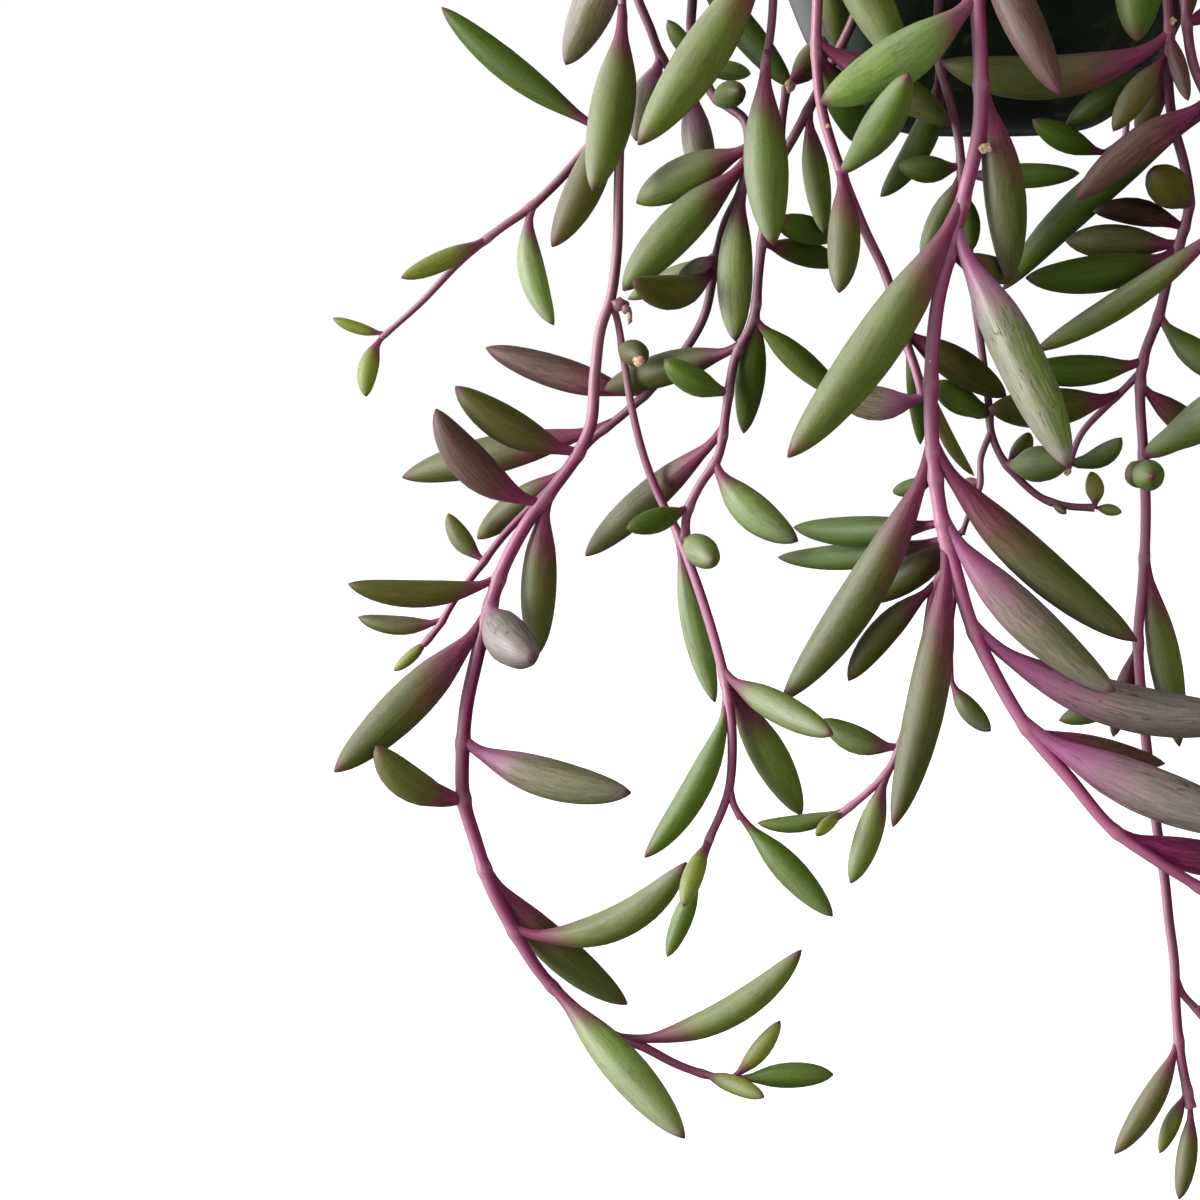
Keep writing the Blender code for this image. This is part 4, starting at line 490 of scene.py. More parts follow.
def table_leaf(row, route_seen, route, nears, shift):
    """A leaf from its table row, with its tip moved shift mm nearer."""
    root_x, root_z, tip_x, tip_z, width, sag, forward, tone = row
    at = int(np.argmin((route_seen[0] - root_x) ** 2 + (route_seen[1] - root_z) ** 2))
    root = route[at]
    near = nears[at] + forward + shift
    tip = seen(tip_x, tip_z, near)
    scale = (VIEW_DISTANCE - (nears[at] + near) / 2) / VIEW_DISTANCE
    across = np.array([-(tip_z - root_z), 0.0, tip_x - root_x])
    across = across / max(1e-6, np.linalg.norm(across))
    return Leaf(root, tip, across * sag * scale * 0.75, width * scale / 2, tone)


def any_across(direction, turn):
    """A unit vector square to the direction, turned about it."""
    flat = np.cross(direction, [0.0, 0.0, 1.0])
    if np.linalg.norm(flat) < 0.05:
        flat = np.cross(direction, [1.0, 0.0, 0.0])
    flat /= np.linalg.norm(flat)
    other = np.cross(direction, flat)
    return flat * math.cos(turn) + other * math.sin(turn)


def rule_leaf(route, at, length, turn, spread, tone):
    """A leaf by rule: it leaves the stem at an angle and bends down by its weight."""
    ahead = route[min(at + 2, len(route) - 1)] - route[max(at - 2, 0)]
    ahead /= np.linalg.norm(ahead)
    side = any_across(ahead, turn)
    way = ahead * math.cos(spread) + side * math.sin(spread)
    way[2] -= 0.12
    way /= np.linalg.norm(way)
    tip = route[at] + way * length
    sag = np.cross(np.cross(way, [0.0, 0.0, -1.0]), way) * length * 0.05
    return Leaf(route[at], tip, sag, length * 0.082 + 0.55, tone)


def add_rule_leaves(crowd, node, route, stations, lengths, tones, dice):
    """Leaves by rule at the stations, each turned until it has room."""
    made = []
    turn = dice.uniform(0, 6.28)
    for at, length, tone in zip(stations, lengths, tones):
        turn += LEAF_TURN
        spread = dice.uniform(*LEAF_SPREAD)
        for attempt in range(14):
            shrink = 1.0 if attempt < 9 else 0.72
            leaf = rule_leaf(route, at, length * shrink, turn + attempt * 0.9, spread, tone)
            if crowd.room(leaf, node) < CLEAR or not hidden_or_outside(leaf.line(LEAF_TESTS)):
                continue
            crowd.add(leaf.line(LEAF_TESTS), leaf.radii(LEAF_TESTS), node)
            made.append(leaf)
            break
    return made


def taper(route, widths):
    """Stem radii along a route from thicknesses evenly spaced along it."""
    return np.interp(np.linspace(0, 1, len(route)), np.linspace(0, 1, len(widths)), widths) / 2


def table_stems():
    """The stems of the table, with their branches but no leaves yet."""
    found = []
    for name, angle, hole_radius, branches in STEMS:
        made = []
        for start, widths, points, rows in branches:
            real = [seen(*p) for p in points]
            if start == "rim":
                real = over_rim(angle, hole_radius, real[0]) + real
            else:
                parents = np.vstack([m[0] for m in made])
                real[0] = parents[np.argmin(np.linalg.norm(parents - real[0], axis=1))]
            route = smooth_route(real)
            scale = (VIEW_DISTANCE + route[:, 1].mean()) / VIEW_DISTANCE
            made.append((route, taper(route, [wide * scale for wide in widths])))
        found.append(Sprig(name, made))
    return found


def trailing_route(angle, hole_radius, drop, dice):
    """A stem by rule: over the rim at its angle, then down with a slow wander."""
    points = over_rim(angle, hole_radius, around(angle, 57.0, 60.0))
    height, radius, turn = POT_HEIGHT - 8.0, 55.5, angle
    lean, drift = dice.uniform(1.0, 4.0), dice.uniform(-2.5, 2.5)
    while height > POT_HEIGHT - drop + 12:
        fall = min(STRIDE, height - (POT_HEIGHT - drop))
        height -= fall
        radius += lean * fall / STRIDE
        lean *= 0.86
        turn += drift * fall / STRIDE
        drift += dice.uniform(-1.1, 1.1)
        points.append(around(turn, radius, height))
    return smooth_route(points)


def shoot_route(angle, hole_radius, height, dice):
    """A short shoot that stands in the crown and leans outwards."""
    points = [
        around(angle, hole_radius, SOIL_TOP - HOLE_DEPTH + 0.5),
        around(angle, hole_radius, SOIL_TOP - HOLE_DEPTH * 0.4),
        around(angle, hole_radius, SOIL_TOP + 4.0),
        around(angle + dice.uniform(-8, 8), hole_radius + 2.0, SOIL_TOP + height * 0.55),
        around(angle + dice.uniform(-14, 14), hole_radius + 6.0, SOIL_TOP + height),
    ]
    return smooth_route(points)


def spaced(route, first, last, spacing, dice):
    """Stations along a route, from first to last mm along it, a spacing apart."""
    along = np.concatenate([[0], np.cumsum(np.linalg.norm(np.diff(route, axis=0), axis=1))])
    end = along[-1] if last is None else last
    wanted, stations = first, []
    while wanted < end:
        stations.append(int(np.searchsorted(along, wanted)))
        wanted += spacing * dice.uniform(0.85, 1.15)
    return [min(s, len(route) - 1) for s in stations]


def wire_route(angle):
    """A hanger wire: up inside the rim, out through its hole, then to the collar."""
    low = POT_HEIGHT - 13.5
    return smooth_route([
        around(angle, 40.6, SOIL_TOP + 3.4), around(angle, 41.4, low + 6.2),
        around(angle, 43.6, low + 3.2), around(angle, 47.0, low + 3.0),
        around(angle, 50.4, low + 3.6), around(angle, 52.0, low + 7.4),
        around(angle, 51.2, POT_HEIGHT + 4.0), around(angle, 44.5, POT_HEIGHT + 24.0),
        around(angle, 21.7, POT_HEIGHT + 90.0), around(angle, 7.6, COLLAR_LOW - 16.0),
        around(angle, 3.3, COLLAR_LOW - 3.0), around(angle, 2.6, COLLAR_LOW + 5.0),
    ])


class Sprig:
    """One node of the plant: its name, its branches as (route, radii), and its leaves."""

    def __init__(self, name, branches):
        self.name, self.branches, self.leaves = name, branches, []


def grow_plant():
    """All stems, then the leaves of the table, then the leaves by rule."""
    sprigs = table_stems()
    dice = random.Random(RULE_SEED)
    rules = (("stem_right_", RIGHT_STEMS, (2.1, 1.2)), ("stem_back_", BACK_STEMS, (2.1, 1.3)))
    for kind, places, widths in rules:
        for number, (angle, drop) in enumerate(places, 1):
            route = trailing_route(angle, dice.choice(HOLE_RADII), drop, dice)
            sprigs.append(Sprig(kind + str(number), [(route, taper(route, widths))]))
    for number in range(SHOOTS):
        angle, out = number * 137.5 + 20.0, 6.0 + 3.1 * number
        route = shoot_route(angle, out, dice.uniform(24, 34), dice)
        sprigs.append(Sprig("shoot_" + str(number + 1), [(route, taper(route, (2.2, 1.4)))]))
    crowd = Crowd()
    for index, sprig in enumerate(sprigs):
        for route, radii in sprig.branches:
            crowd.add(route, radii, index)
    for angle in WIRE_ANGLES.values():
        route = wire_route(angle)
        crowd.add(route, np.full(len(route), WIRE_RADIUS + 0.3), NO_SPRIG)
    place_table_leaves(crowd, sprigs)
    place_rule_leaves(crowd, sprigs, dice)
    return sprigs


def place_table_leaves(crowd, sprigs):
    """The leaves of the table, each with its tip nearer or further until it's clear."""
    for index, (row, sprig) in enumerate(zip(STEMS, sprigs)):
        for (start, widths, points, rows), (route, radii) in zip(row[3], sprig.branches):
            route_seen, nears = as_seen(route), -route[:, 1]
            for leaf_row in rows:
                best = None
                for shift in DEPTH_TRIES:
                    leaf = table_leaf(leaf_row, route_seen, route, nears, shift)
                    room = crowd.room(leaf, index)
                    if best is None or room > best[0]:
                        best = (room, leaf)
                    if room >= CLEAR:
                        break
                leaf = best[1]
                crowd.add(leaf.line(LEAF_TESTS), leaf.radii(LEAF_TESTS), index)
                sprig.leaves.append(leaf)


def place_rule_leaves(crowd, sprigs, dice):
    """Leaves on the tops of the table's stems, the other stems and the shoots."""
    for index, sprig in enumerate(sprigs):
        route = sprig.branches[0][0]
        if index < len(STEMS):
            outside = np.nonzero(as_seen(route)[1] > FRAME_TOP + 12)[0][-1]
            along = np.linalg.norm(np.diff(route[:outside + 1], axis=0), axis=1).sum()
            stations = spaced(route, FIRST_LEAF, along, UPPER_SPACING, dice)
            lengths = [dice.uniform(17, 27) for _ in stations]
        else:
            stations = spaced(route, FIRST_LEAF, None, LEAF_SPACING[sprig.name[:-2]], dice)
            stations.append(len(route) - 1)
            whole = max(1, len(stations) - 1)
            lengths = [dice.uniform(20, 32) * (1.0 - 0.5 * (k / whole) ** 2.5) for k in range(len(stations))]
            if sprig.name[:-2] != "stem_right":
                lengths = [n * 0.72 for n in lengths]
        tones = [dice.choice("gsmgdonp") for _ in stations]
        if index >= len(STEMS):
            tones[-1] = "y"
        sprig.leaves += add_rule_leaves(crowd, index, route, stations, lengths, tones, dice)


# Colours


def linear(code):
    """Linear colour from an sRGB hex code."""
    parts = [int(code[i:i + 2], 16) / 255 for i in (1, 3, 5)]
    return tuple(c / 12.92 if c <= 0.04045 else ((c + 0.055) / 1.055) ** 2.4 for c in parts) + (1.0,)


# Materials


def add(tree, kind, inputs, stops=None, **settings):
    """The outputs of a new shader node with its settings, its values and its links."""
    node = tree.nodes.new("ShaderNode" + kind)
    for key, value in settings.items():
        setattr(node, key, value)
    for key, value in inputs.items():
        if isinstance(value, bpy.types.NodeSocket):
            tree.links.new(value, node.inputs[key])
        else:
            node.inputs[key].default_value = value
    if stops:
        for _ in stops[2:]:
            node.color_ramp.elements.new(0.5)
        for element, (place, colour) in zip(node.color_ramp.elements, stops):
            element.position, element.color = place, colour
    return node.outputs


def blank(name, **values):
    """A material with its tree and its Principled shader, whose sockets get the values."""
    made = bpy.data.materials.new(name)
    made.use_nodes = True
    shader = made.node_tree.nodes["Principled BSDF"]
    for socket, value in values.items():
        shader.inputs[socket.replace("_", " ")].default_value = value
    return made, made.node_tree, shader


# What the deepest reds of leaves and bark keep of their light
DEEP_LEAF = (0.36, 0.34, 0.30)
DEEP_BARK = (0.38, 0.36, 0.36)
# The marks that a leafy stem's verts carry, and the output that a material reads each from
MARKS = {
    "grain": "Vector", "body": "Vector", "tone": "Vector",
    "flush": "Fac", "bloom": "Fac", "along": "Fac", "joint": "Fac",
}


def leaf_skin():
    """Succulent leaf, grown: a waxy skin with a dusty pale bloom over wet flesh. The eye sees a
    magenta neck that breaks up in fine streaks into green, and a pale, dull lit side, whose paleness is a
    painted highlight laid in the bloom."""
    made, tree, shader = blank(
        "succulent_leaf_waxy_skin",
        IOR=1.42, Sheen_Weight=0.04, Sheen_Roughness=0.45, Specular_IOR_Level=0.45,
        Subsurface_Weight=0.22, Subsurface_Radius=(0.0014, 0.0020, 0.0003), Subsurface_Scale=1.0,
    )
    grain, body, tone, flush, bloom, along = (
        add(tree, "Attribute", {}, attribute_name=mark)[output]
        for mark, output in MARKS.items() if mark != "joint"
    )
    deep, worn, speckled = add(tree, "SeparateXYZ", {0: tone})
    # Faint streaks 1 mm wide, lines 0.35 mm wide and 7 mm long, and specks 0.25 mm across
    sway = add(tree, "TexNoise", {"Vector": grain, "Scale": 0.10, "Detail": 1.0})["Color"]
    swayed = add(tree, "VectorMath", {0: sway, 1: (2.4, 2.4, 0.0), 2: grain}, operation="MULTIPLY_ADD")[0]
    drawn = add(tree, "VectorMath", {0: swayed, 1: (1.0, 1.0, 0.055)}, operation="MULTIPLY")[0]
    wide = add(tree, "TexNoise", {"Vector": drawn, "Scale": 0.9, "Detail": 2.0, "Roughness": 0.5})[0]
    fine = add(tree, "TexNoise", {"Vector": drawn, "Scale": 2.8, "Detail": 3.0, "Roughness": 0.65})[0]
    speck = add(tree, "TexNoise", {"Vector": grain, "Scale": 4.0, "Detail": 2.0, "Roughness": 0.6})[0]
    # Blotches about 4 mm across
    blotch = add(tree, "TexNoise", {"Vector": grain, "Scale": 0.25, "Detail": 2.0})[0]
    # Wrinkles and hairline cracks of an old leaf, 0.25 mm wide and up to 10 mm long
    crooked = add(tree, "VectorMath", {0: grain, 1: (1.0, 1.0, 0.12)}, operation="MULTIPLY")[0]
    crackle = add(tree, "TexNoise", {"Vector": crooked, "Scale": 0.55, "Detail": 2.0, "Roughness": 0.6})[0]
    off = add(tree, "Math", {0: crackle, 1: 0.5}, operation="SUBTRACT")[0]
    off = add(tree, "Math", {0: off}, operation="ABSOLUTE")[0]
    crack = add(tree, "MapRange", {"Value": off, 1: 0.0, 2: 0.020, 3: 1.0, 4: 0.0})[0]
    parts = add(tree, "MapRange", {"Value": blotch, 1: 0.42, 2: 0.58, 3: 0.1, 4: 0.9})[0]
    crack = add(tree, "Math", {0: crack, 1: parts}, operation="MULTIPLY")[0]
    crack = add(tree, "Math", {0: crack, 1: worn}, operation="MULTIPLY")[0]

    # The body's own colour, a little uneven
    line = add(tree, "MapRange", {"Value": fine, 1: 0.36, 2: 0.64, 3: 0.0, 4: 1.0})[0]
    # An old skin is streaked more
    strong = add(tree, "Math", {0: worn, 1: 0.26, 2: 0.22}, operation="MULTIPLY_ADD")[0]
    uneven = add(tree, "Math", {0: line, 1: 0.5}, operation="SUBTRACT")[0]
    uneven = add(tree, "Math", {0: uneven, 1: strong, 2: 1.0}, operation="MULTIPLY_ADD")[0]
    grainy = add(tree, "MapRange", {"Value": speck, 1: 0.3, 2: 0.7, 3: 0.84, 4: 1.16})[0]
    cloudy = add(tree, "MapRange", {"Value": wide, 1: 0.25, 2: 0.75, 3: 0.86, 4: 1.14})[0]
    shade = add(tree, "Math", {0: uneven, 1: grainy}, operation="MULTIPLY")[0]
    shade = add(tree, "Math", {0: shade, 1: cloudy}, operation="MULTIPLY")[0]
    # Dark specks and short dashes on thin-skinned young leaves
    dash = add(tree, "MapRange", {"Value": speck, 1: 0.30, 2: 0.42, 3: 0.45, 4: 1.0})[0]
    dash = add(tree, "Mix", {0: speckled, 2: 1.0, 3: dash})[0]
    shade = add(tree, "Math", {0: shade, 1: dash}, operation="MULTIPLY")[0]
    skin = add(tree, "VectorMath", {0: body, "Scale": shade}, operation="SCALE")[0]
    # The neck is magenta; where the flush thins out over green it turns brown first
    purple = add(tree, "Mix", {0: line, 6: linear("#6C1240"), 7: linear("#96346C")}, data_type="RGBA")[2]
    dusky = add(tree, "Mix", {0: line, 6: linear("#50281E"), 7: linear("#7C4E44")}, data_type="RGBA")[2]
    rest = add(tree, "Math", {0: 1.0, 1: flush}, operation="SUBTRACT")[0]
    edge = add(tree, "Math", {0: flush, 1: rest}, operation="MULTIPLY")[0]
    edge = add(tree, "Math", {0: edge, 1: 5.2, 2: 0.12}, operation="MULTIPLY_ADD")[0]
    torn = add(tree, "Math", {0: line, 1: 0.5}, operation="SUBTRACT")[0]
    torn = add(tree, "Math", {0: torn, 1: edge}, operation="MULTIPLY")[0]
    patched = add(tree, "Math", {0: blotch, 1: 0.5}, operation="SUBTRACT")[0]
    ragged = add(tree, "Math", {0: patched, 1: 0.4, 2: flush}, operation="MULTIPLY_ADD")[0]
    ragged = add(tree, "Math", {0: torn, 1: 0.5, 2: ragged}, operation="MULTIPLY_ADD")[0]
    to_dusky = add(tree, "MapRange", {"Value": ragged, 1: 0.05, 2: 0.6, 3: 0.0, 4: 0.9})[0]
    smooth = add(tree, "Math", {0: torn, 1: 0.2, 2: flush}, operation="MULTIPLY_ADD")[0]
    to_purple = add(tree, "MapRange", {"Value": smooth, 1: 0.4, 2: 0.95, 3: 0.0, 4: 1.0})[0]
    red = add(tree, "Mix", {0: to_purple, 6: dusky, 7: purple}, data_type="RGBA")[2]
    dark = add(tree, "VectorMath", {0: red, 1: DEEP_LEAF}, operation="MULTIPLY")[0]
    red = add(tree, "Mix", {0: deep, 6: red, 7: dark}, data_type="RGBA")[2]
    pale = add(tree, "Math", {0: deep, 1: -1.0}, operation="MULTIPLY")[0]
    chalky = add(tree, "Mix", {0: to_purple, 6: linear("#A8969A"), 7: linear("#AC5C94")}, data_type="RGBA")[2]
    red = add(tree, "Mix", {0: pale, 6: red, 7: chalky}, data_type="RGBA")[2]
    red = add(tree, "VectorMath", {0: red, "Scale": grainy}, operation="SCALE")[0]
    skin = add(tree, "Mix", {0: to_dusky, 6: skin, 7: red}, data_type="RGBA")[2]
    # Bloom: pale wax dust, and a painted highlight on the side that faces the light
    patchy = add(tree, "MapRange", {"Value": fine, 1: 0.3, 2: 0.65, 3: 0.75, 4: 1.0})[0]
    dust = add(tree, "Math", {0: bloom, 1: patchy}, operation="MULTIPLY")[0]
    wax_and_highlight = add(tree, "Mix", {0: pale, 6: linear("#D2D6CC"), 7: linear("#C6AEC2")}, data_type="RGBA")[2]
    skin = add(tree, "Mix", {0: dust, 6: skin, 7: wax_and_highlight}, data_type="RGBA")[2]
    skin = add(tree, "Mix", {0: crack, 6: skin, 7: linear("#2C281A")}, data_type="RGBA")[2]
    # The point of the leaf dries to a brown prick
    point = add(tree, "MapRange", {"Value": along, 1: 0.955, 2: 0.985, 3: 0.0, 4: 0.85})[0]
    skin = add(tree, "Mix", {0: point, 6: skin, 7: linear("#5C3C38")}, data_type="RGBA")[2]
    tree.links.new(skin, shader.inputs["Base Color"])
    rough = add(tree, "MapRange", {"Value": fine, 1: 0.3, 2: 0.7, 3: 0.40, 4: 0.50})[0]
    rough = add(tree, "Math", {0: deep, 1: 0.15, 2: rough}, operation="MULTIPLY_ADD")[0]
    tree.links.new(rough, shader.inputs["Roughness"])
    relief = add(tree, "Math", {0: crack, 1: -2.0, 2: speck}, operation="MULTIPLY_ADD")[0]
    bump = add(tree, "Bump", {"Height": relief, "Strength": 0.3, "Distance": 0.0001})[0]
    tree.links.new(bump, shader.inputs["Normal"])
    return made


def stem_skin():
    """Succulent stem, grown: smooth magenta bark under a thin wax. The eye sees a satin rod, deep
    magenta in the shade and pink in the light, with a pale ring where each leaf joins. The shade is partly
    painted as darker bark on the side away from the light, and the light partly painted as pale bloom on the
    side facing it."""
    made, tree, shader = blank(
        "succulent_stem_waxy_bark",
        IOR=1.5, Subsurface_Weight=0.08, Subsurface_Radius=(0.0010, 0.0004, 0.0004),
        Subsurface_Scale=1.0,
    )
    grain, tone, bloom, joint = (
        add(tree, "Attribute", {}, attribute_name=mark)[MARKS[mark]]
        for mark in ("grain", "tone", "bloom", "joint")
    )
    deep, dull = add(tree, "SeparateXYZ", {0: tone})[:2]
    # Shading about 1 mm wide and 20 mm long, specks 0.3 mm
    drawn = add(tree, "VectorMath", {0: grain, 1: (1.0, 1.0, 0.05)}, operation="MULTIPLY")[0]
    wide = add(tree, "TexNoise", {"Vector": drawn, "Scale": 1.1, "Detail": 2.0})[0]
    speck = add(tree, "TexNoise", {"Vector": grain, "Scale": 2.6, "Detail": 3.0})[0]
    streak = add(tree, "MapRange", {"Value": wide, 1: 0.3, 2: 0.7, 3: 0.0, 4: 1.0})[0]
    bark = add(tree, "Mix", {0: streak, 6: linear("#7A1648"), 7: linear("#9E3C70")}, data_type="RGBA")[2]
    grey = add(tree, "Mix", {0: streak, 6: linear("#5E2A3A"), 7: linear("#8A5560")}, data_type="RGBA")[2]
    bark = add(tree, "Mix", {0: dull, 6: bark, 7: grey}, data_type="RGBA")[2]
    # Pale bloom, painted thicker on the side facing the light as a highlight
    dust = add(tree, "Mix", {0: bloom, 6: bark, 7: linear("#DCA6BE")}, data_type="RGBA")[2]
    pale = add(tree, "Mix", {0: bloom, 6: bark, 7: linear("#C9A6AE")}, data_type="RGBA")[2]
    bark = add(tree, "Mix", {0: dull, 6: dust, 7: pale}, data_type="RGBA")[2]
    dark = add(tree, "VectorMath", {0: bark, 1: DEEP_BARK}, operation="MULTIPLY")[0]
    bark = add(tree, "Mix", {0: deep, 6: bark, 7: dark}, data_type="RGBA")[2]
    ring_edge = add(tree, "MapRange", {"Value": speck, 1: 0.42, 2: 0.62, 3: 0.3, 4: 1.0})[0]
    ring = add(tree, "Math", {0: joint, 1: ring_edge}, operation="MULTIPLY")[0]
    bark = add(tree, "Mix", {0: ring, 6: bark, 7: linear("#A87C82")}, data_type="RGBA")[2]
    tree.links.new(bark, shader.inputs["Base Color"])
    rough = add(tree, "MapRange", {"Value": speck, 1: 0.3, 2: 0.7, 3: 0.36, 4: 0.44})[0]
    tree.links.new(rough, shader.inputs["Roughness"])
    bump = add(tree, "Bump", {"Height": speck, "Strength": 0.3, "Distance": 0.00008})[0]
    tree.links.new(bump, shader.inputs["Normal"])
    return made


def dry_husk():
    """Dead tissue, dried on the plant: papery tan scars and withered stubs, matt."""
    made, tree, shader = blank("dried_plant_tissue", Roughness=0.8)
    place = add(tree, "TexCoord", {})["Object"]
    # Flecks 0.4 mm across
    fleck = add(tree, "TexNoise", {"Vector": place, "Scale": 2500.0, "Detail": 3.0})[0]
    tan = add(tree, "ValToRGB", {0: fleck}, stops=[
        (0.3, linear("#7A5742")), (0.5, linear("#C9A181")), (0.7, linear("#EAD3BC")),
    ])[0]
    tree.links.new(tan, shader.inputs["Base Color"])
    bump = add(tree, "Bump", {"Height": fleck, "Strength": 0.6, "Distance": 0.0001})[0]
    tree.links.new(bump, shader.inputs["Normal"])
    return made


def bottle_glaze():
    """Stoneware, thrown and dipped in dark bottle-green glaze: a wet gloss, almost black, with
    faint throwing rings and a greener bloom where the glaze is thin."""
    made, tree, shader = blank(
        "stoneware_bottle_green_glaze",
        IOR=1.5, Coat_Weight=0.5, Coat_Roughness=0.08,
    )
    place = add(tree, "TexCoord", {})["Object"]
    # Throwing rings 2 mm apart, cloudy patches 20 mm across, dust 1.5 mm
    flat = add(tree, "VectorMath", {0: place, 1: (0.12, 0.12, 1.0)}, operation="MULTIPLY")[0]
    rings = add(tree, "TexNoise", {"Vector": flat, "Scale": 500.0, "Detail": 2.0})[0]
    cloud = add(tree, "TexNoise", {"Vector": place, "Scale": 50.0, "Detail": 4.0})[0]
    dust = add(tree, "TexNoise", {"Vector": place, "Scale": 700.0, "Detail": 3.0})[0]
    patch = add(tree, "MapRange", {"Value": cloud, 1: 0.35, 2: 0.7, 3: 0.0, 4: 1.0})[0]
    green = add(tree, "Mix", {0: patch, 6: linear("#10190F"), 7: linear("#1D2A1E")}, data_type="RGBA")[2]
    tree.links.new(green, shader.inputs["Base Color"])
    rough = add(tree, "MapRange", {"Value": dust, 1: 0.35, 2: 0.75, 3: 0.16, 4: 0.30})[0]
    tree.links.new(rough, shader.inputs["Roughness"])
    bump = add(tree, "Bump", {"Height": rings, "Strength": 0.25, "Distance": 0.0002})[0]
    tree.links.new(bump, shader.inputs["Normal"])
    return made


def potting_soil():
    """Potting soil of peat, coir and bark, crumbled: dark brown, matt, each crumb its own shade."""
    made, tree, shader = blank("peat_and_bark_potting_soil", Roughness=0.95, Specular_IOR_Level=0.2)
    place = add(tree, "TexCoord", {})["Object"]
    # Crumbs 2 mm and fibres 0.4 mm
    crumb = add(tree, "TexVoronoi", {"Vector": place, "Scale": 500.0})["Color"]
    shade = add(tree, "SeparateXYZ", {0: crumb})[0]
    fibre = add(tree, "TexNoise", {"Vector": place, "Scale": 2400.0, "Detail": 4.0})[0]
    brown = add(tree, "ValToRGB", {0: shade}, stops=[
        (0.0, linear("#1B120C")), (0.5, linear("#38271B")), (1.0, linear("#5B4230")),
    ])[0]
    brown = add(tree, "Mix", {0: 0.5, 6: brown, 7: fibre}, data_type="RGBA", blend_type="MULTIPLY")[2]
    tree.links.new(brown, shader.inputs["Base Color"])
    bump = add(tree, "Bump", {"Height": fibre, "Strength": 0.8, "Distance": 0.0004})[0]
    tree.links.new(bump, shader.inputs["Normal"])
    return made


def perlite():
    """Perlite, fired volcanic glass: chalk-white porous grains in the soil."""
    made, tree, shader = blank("perlite_grain", Roughness=0.9)
    place = add(tree, "TexCoord", {})["Object"]
    # Pores 0.3 mm
    pore = add(tree, "TexNoise", {"Vector": place, "Scale": 3000.0, "Detail": 3.0})[0]
    white = add(tree, "ValToRGB", {0: pore}, stops=[
        (0.3, linear("#A9A294")), (0.6, linear("#E9E5DA")),
    ])[0]
    tree.links.new(white, shader.inputs["Base Color"])
    return made


def drawn_steel():
    """Galvanised steel wire, drawn: satin grey with fine lengthwise scratches."""
    made, tree, shader = blank("galvanised_drawn_steel", Metallic=1.0)
    place = add(tree, "TexCoord", {})["Object"]
    # Scratches 0.1 mm wide and 4 mm long; zinc clouds 5 mm
    scratchy = add(tree, "VectorMath", {0: place, 1: (1.0, 1.0, 0.03)}, operation="MULTIPLY")[0]
    scratch = add(tree, "TexNoise", {"Vector": scratchy, "Scale": 9000.0, "Detail": 2.0})[0]
    cloud = add(tree, "TexNoise", {"Vector": place, "Scale": 200.0, "Detail": 3.0})[0]
    grey = add(tree, "Mix", {0: cloud, 6: linear("#9A9C9B"), 7: linear("#C6C8C6")}, data_type="RGBA")[2]
    tree.links.new(grey, shader.inputs["Base Color"])
    rough = add(tree, "MapRange", {"Value": scratch, 1: 0.3, 2: 0.7, 3: 0.26, 4: 0.42})[0]
    tree.links.new(rough, shader.inputs["Roughness"])
    bump = add(tree, "Bump", {"Height": scratch, "Strength": 0.15, "Distance": 0.00004})[0]
    tree.links.new(bump, shader.inputs["Normal"])
    return made


# Meshes


def placed(name, data):
    """A new object in the scene."""
    made = bpy.data.objects.new(name, data)
    bpy.context.scene.collection.objects.link(made)
    return made


def ball(subdivisions):
    """Verts and faces of a ball of radius 1."""
    shell = bmesh.new()
    bmesh.ops.create_icosphere(shell, subdivisions=subdivisions, radius=1.0)
    verts = np.array([v.co[:] for v in shell.verts])
    faces = [tuple(v.index for v in f.verts) for f in shell.faces]
    shell.free()
    return verts, faces


def moved_on(faces, count):
    """Faces whose verts are numbered count higher."""
    return [tuple(i + count for i in face) for face in faces]


class Skin:
    """Verts, faces and marks of one leafy stem, gathered tube by tube; verts in mm."""

    def __init__(self):
        self.verts, self.faces, self.parts, self.count = [], [], [], 0
        self.marks = {name: [] for name in MARKS}

    def add(self, verts, faces, part, **marks):
        self.verts.append(verts)
        self.faces += moved_on(faces, self.count)
        self.parts += [part] * len(faces)
        for name, gathered in self.marks.items():
            shape = (len(verts), 3) if MARKS[name] == "Vector" else (len(verts),)
            gathered.append(np.broadcast_to(np.asarray(marks.get(name, 0.0), float), shape))
        self.count += len(verts)


def circle(sides):
    """Angles evenly round a whole turn."""
    return np.linspace(0, 2 * math.pi, sides, endpoint=False)


def tube(line, sizes):
    """Verts, outward ways and faces of a closed tube: sizes holds a radius per ring and side."""
    turns = circle(sizes.shape[1])
    ways = np.gradient(line, axis=0)
    ways /= np.linalg.norm(ways, axis=1)[:, None]
    across = any_across(ways[0], 0.0)
    out = np.zeros((len(line), len(turns), 3))
    for i, way in enumerate(ways):
        across = across - way * np.dot(across, way)
        across /= np.linalg.norm(across)
        other = np.cross(way, across)
        out[i] = np.cos(turns)[:, None] * across + np.sin(turns)[:, None] * other
    rings, sides = sizes.shape
    verts = line[:, None] + out * sizes[:, :, None]
    verts = np.vstack([verts.reshape(-1, 3), line[:1], line[-1:]])
    out = np.vstack([out.reshape(-1, 3), -ways[:1], ways[-1:]])
    faces = []
    for a in range(0, (rings - 1) * sides, sides):
        b = a + sides
        faces += [(a + k, a + (k + 1) % sides, b + (k + 1) % sides, b + k) for k in range(sides)]
    first, last, top = rings * sides, rings * sides + 1, (rings - 1) * sides
    faces += [((k + 1) % sides, k, first) for k in range(sides)]
    faces += [(top + k, top + (k + 1) % sides, last) for k in range(sides)]
    return verts, out, faces


# The way to the light, and the material numbers of a leafy stem
LIGHT_WAY = np.array([-0.84, -0.50, 0.20])
FLESH, BARK, DRY = 0, 1, 2


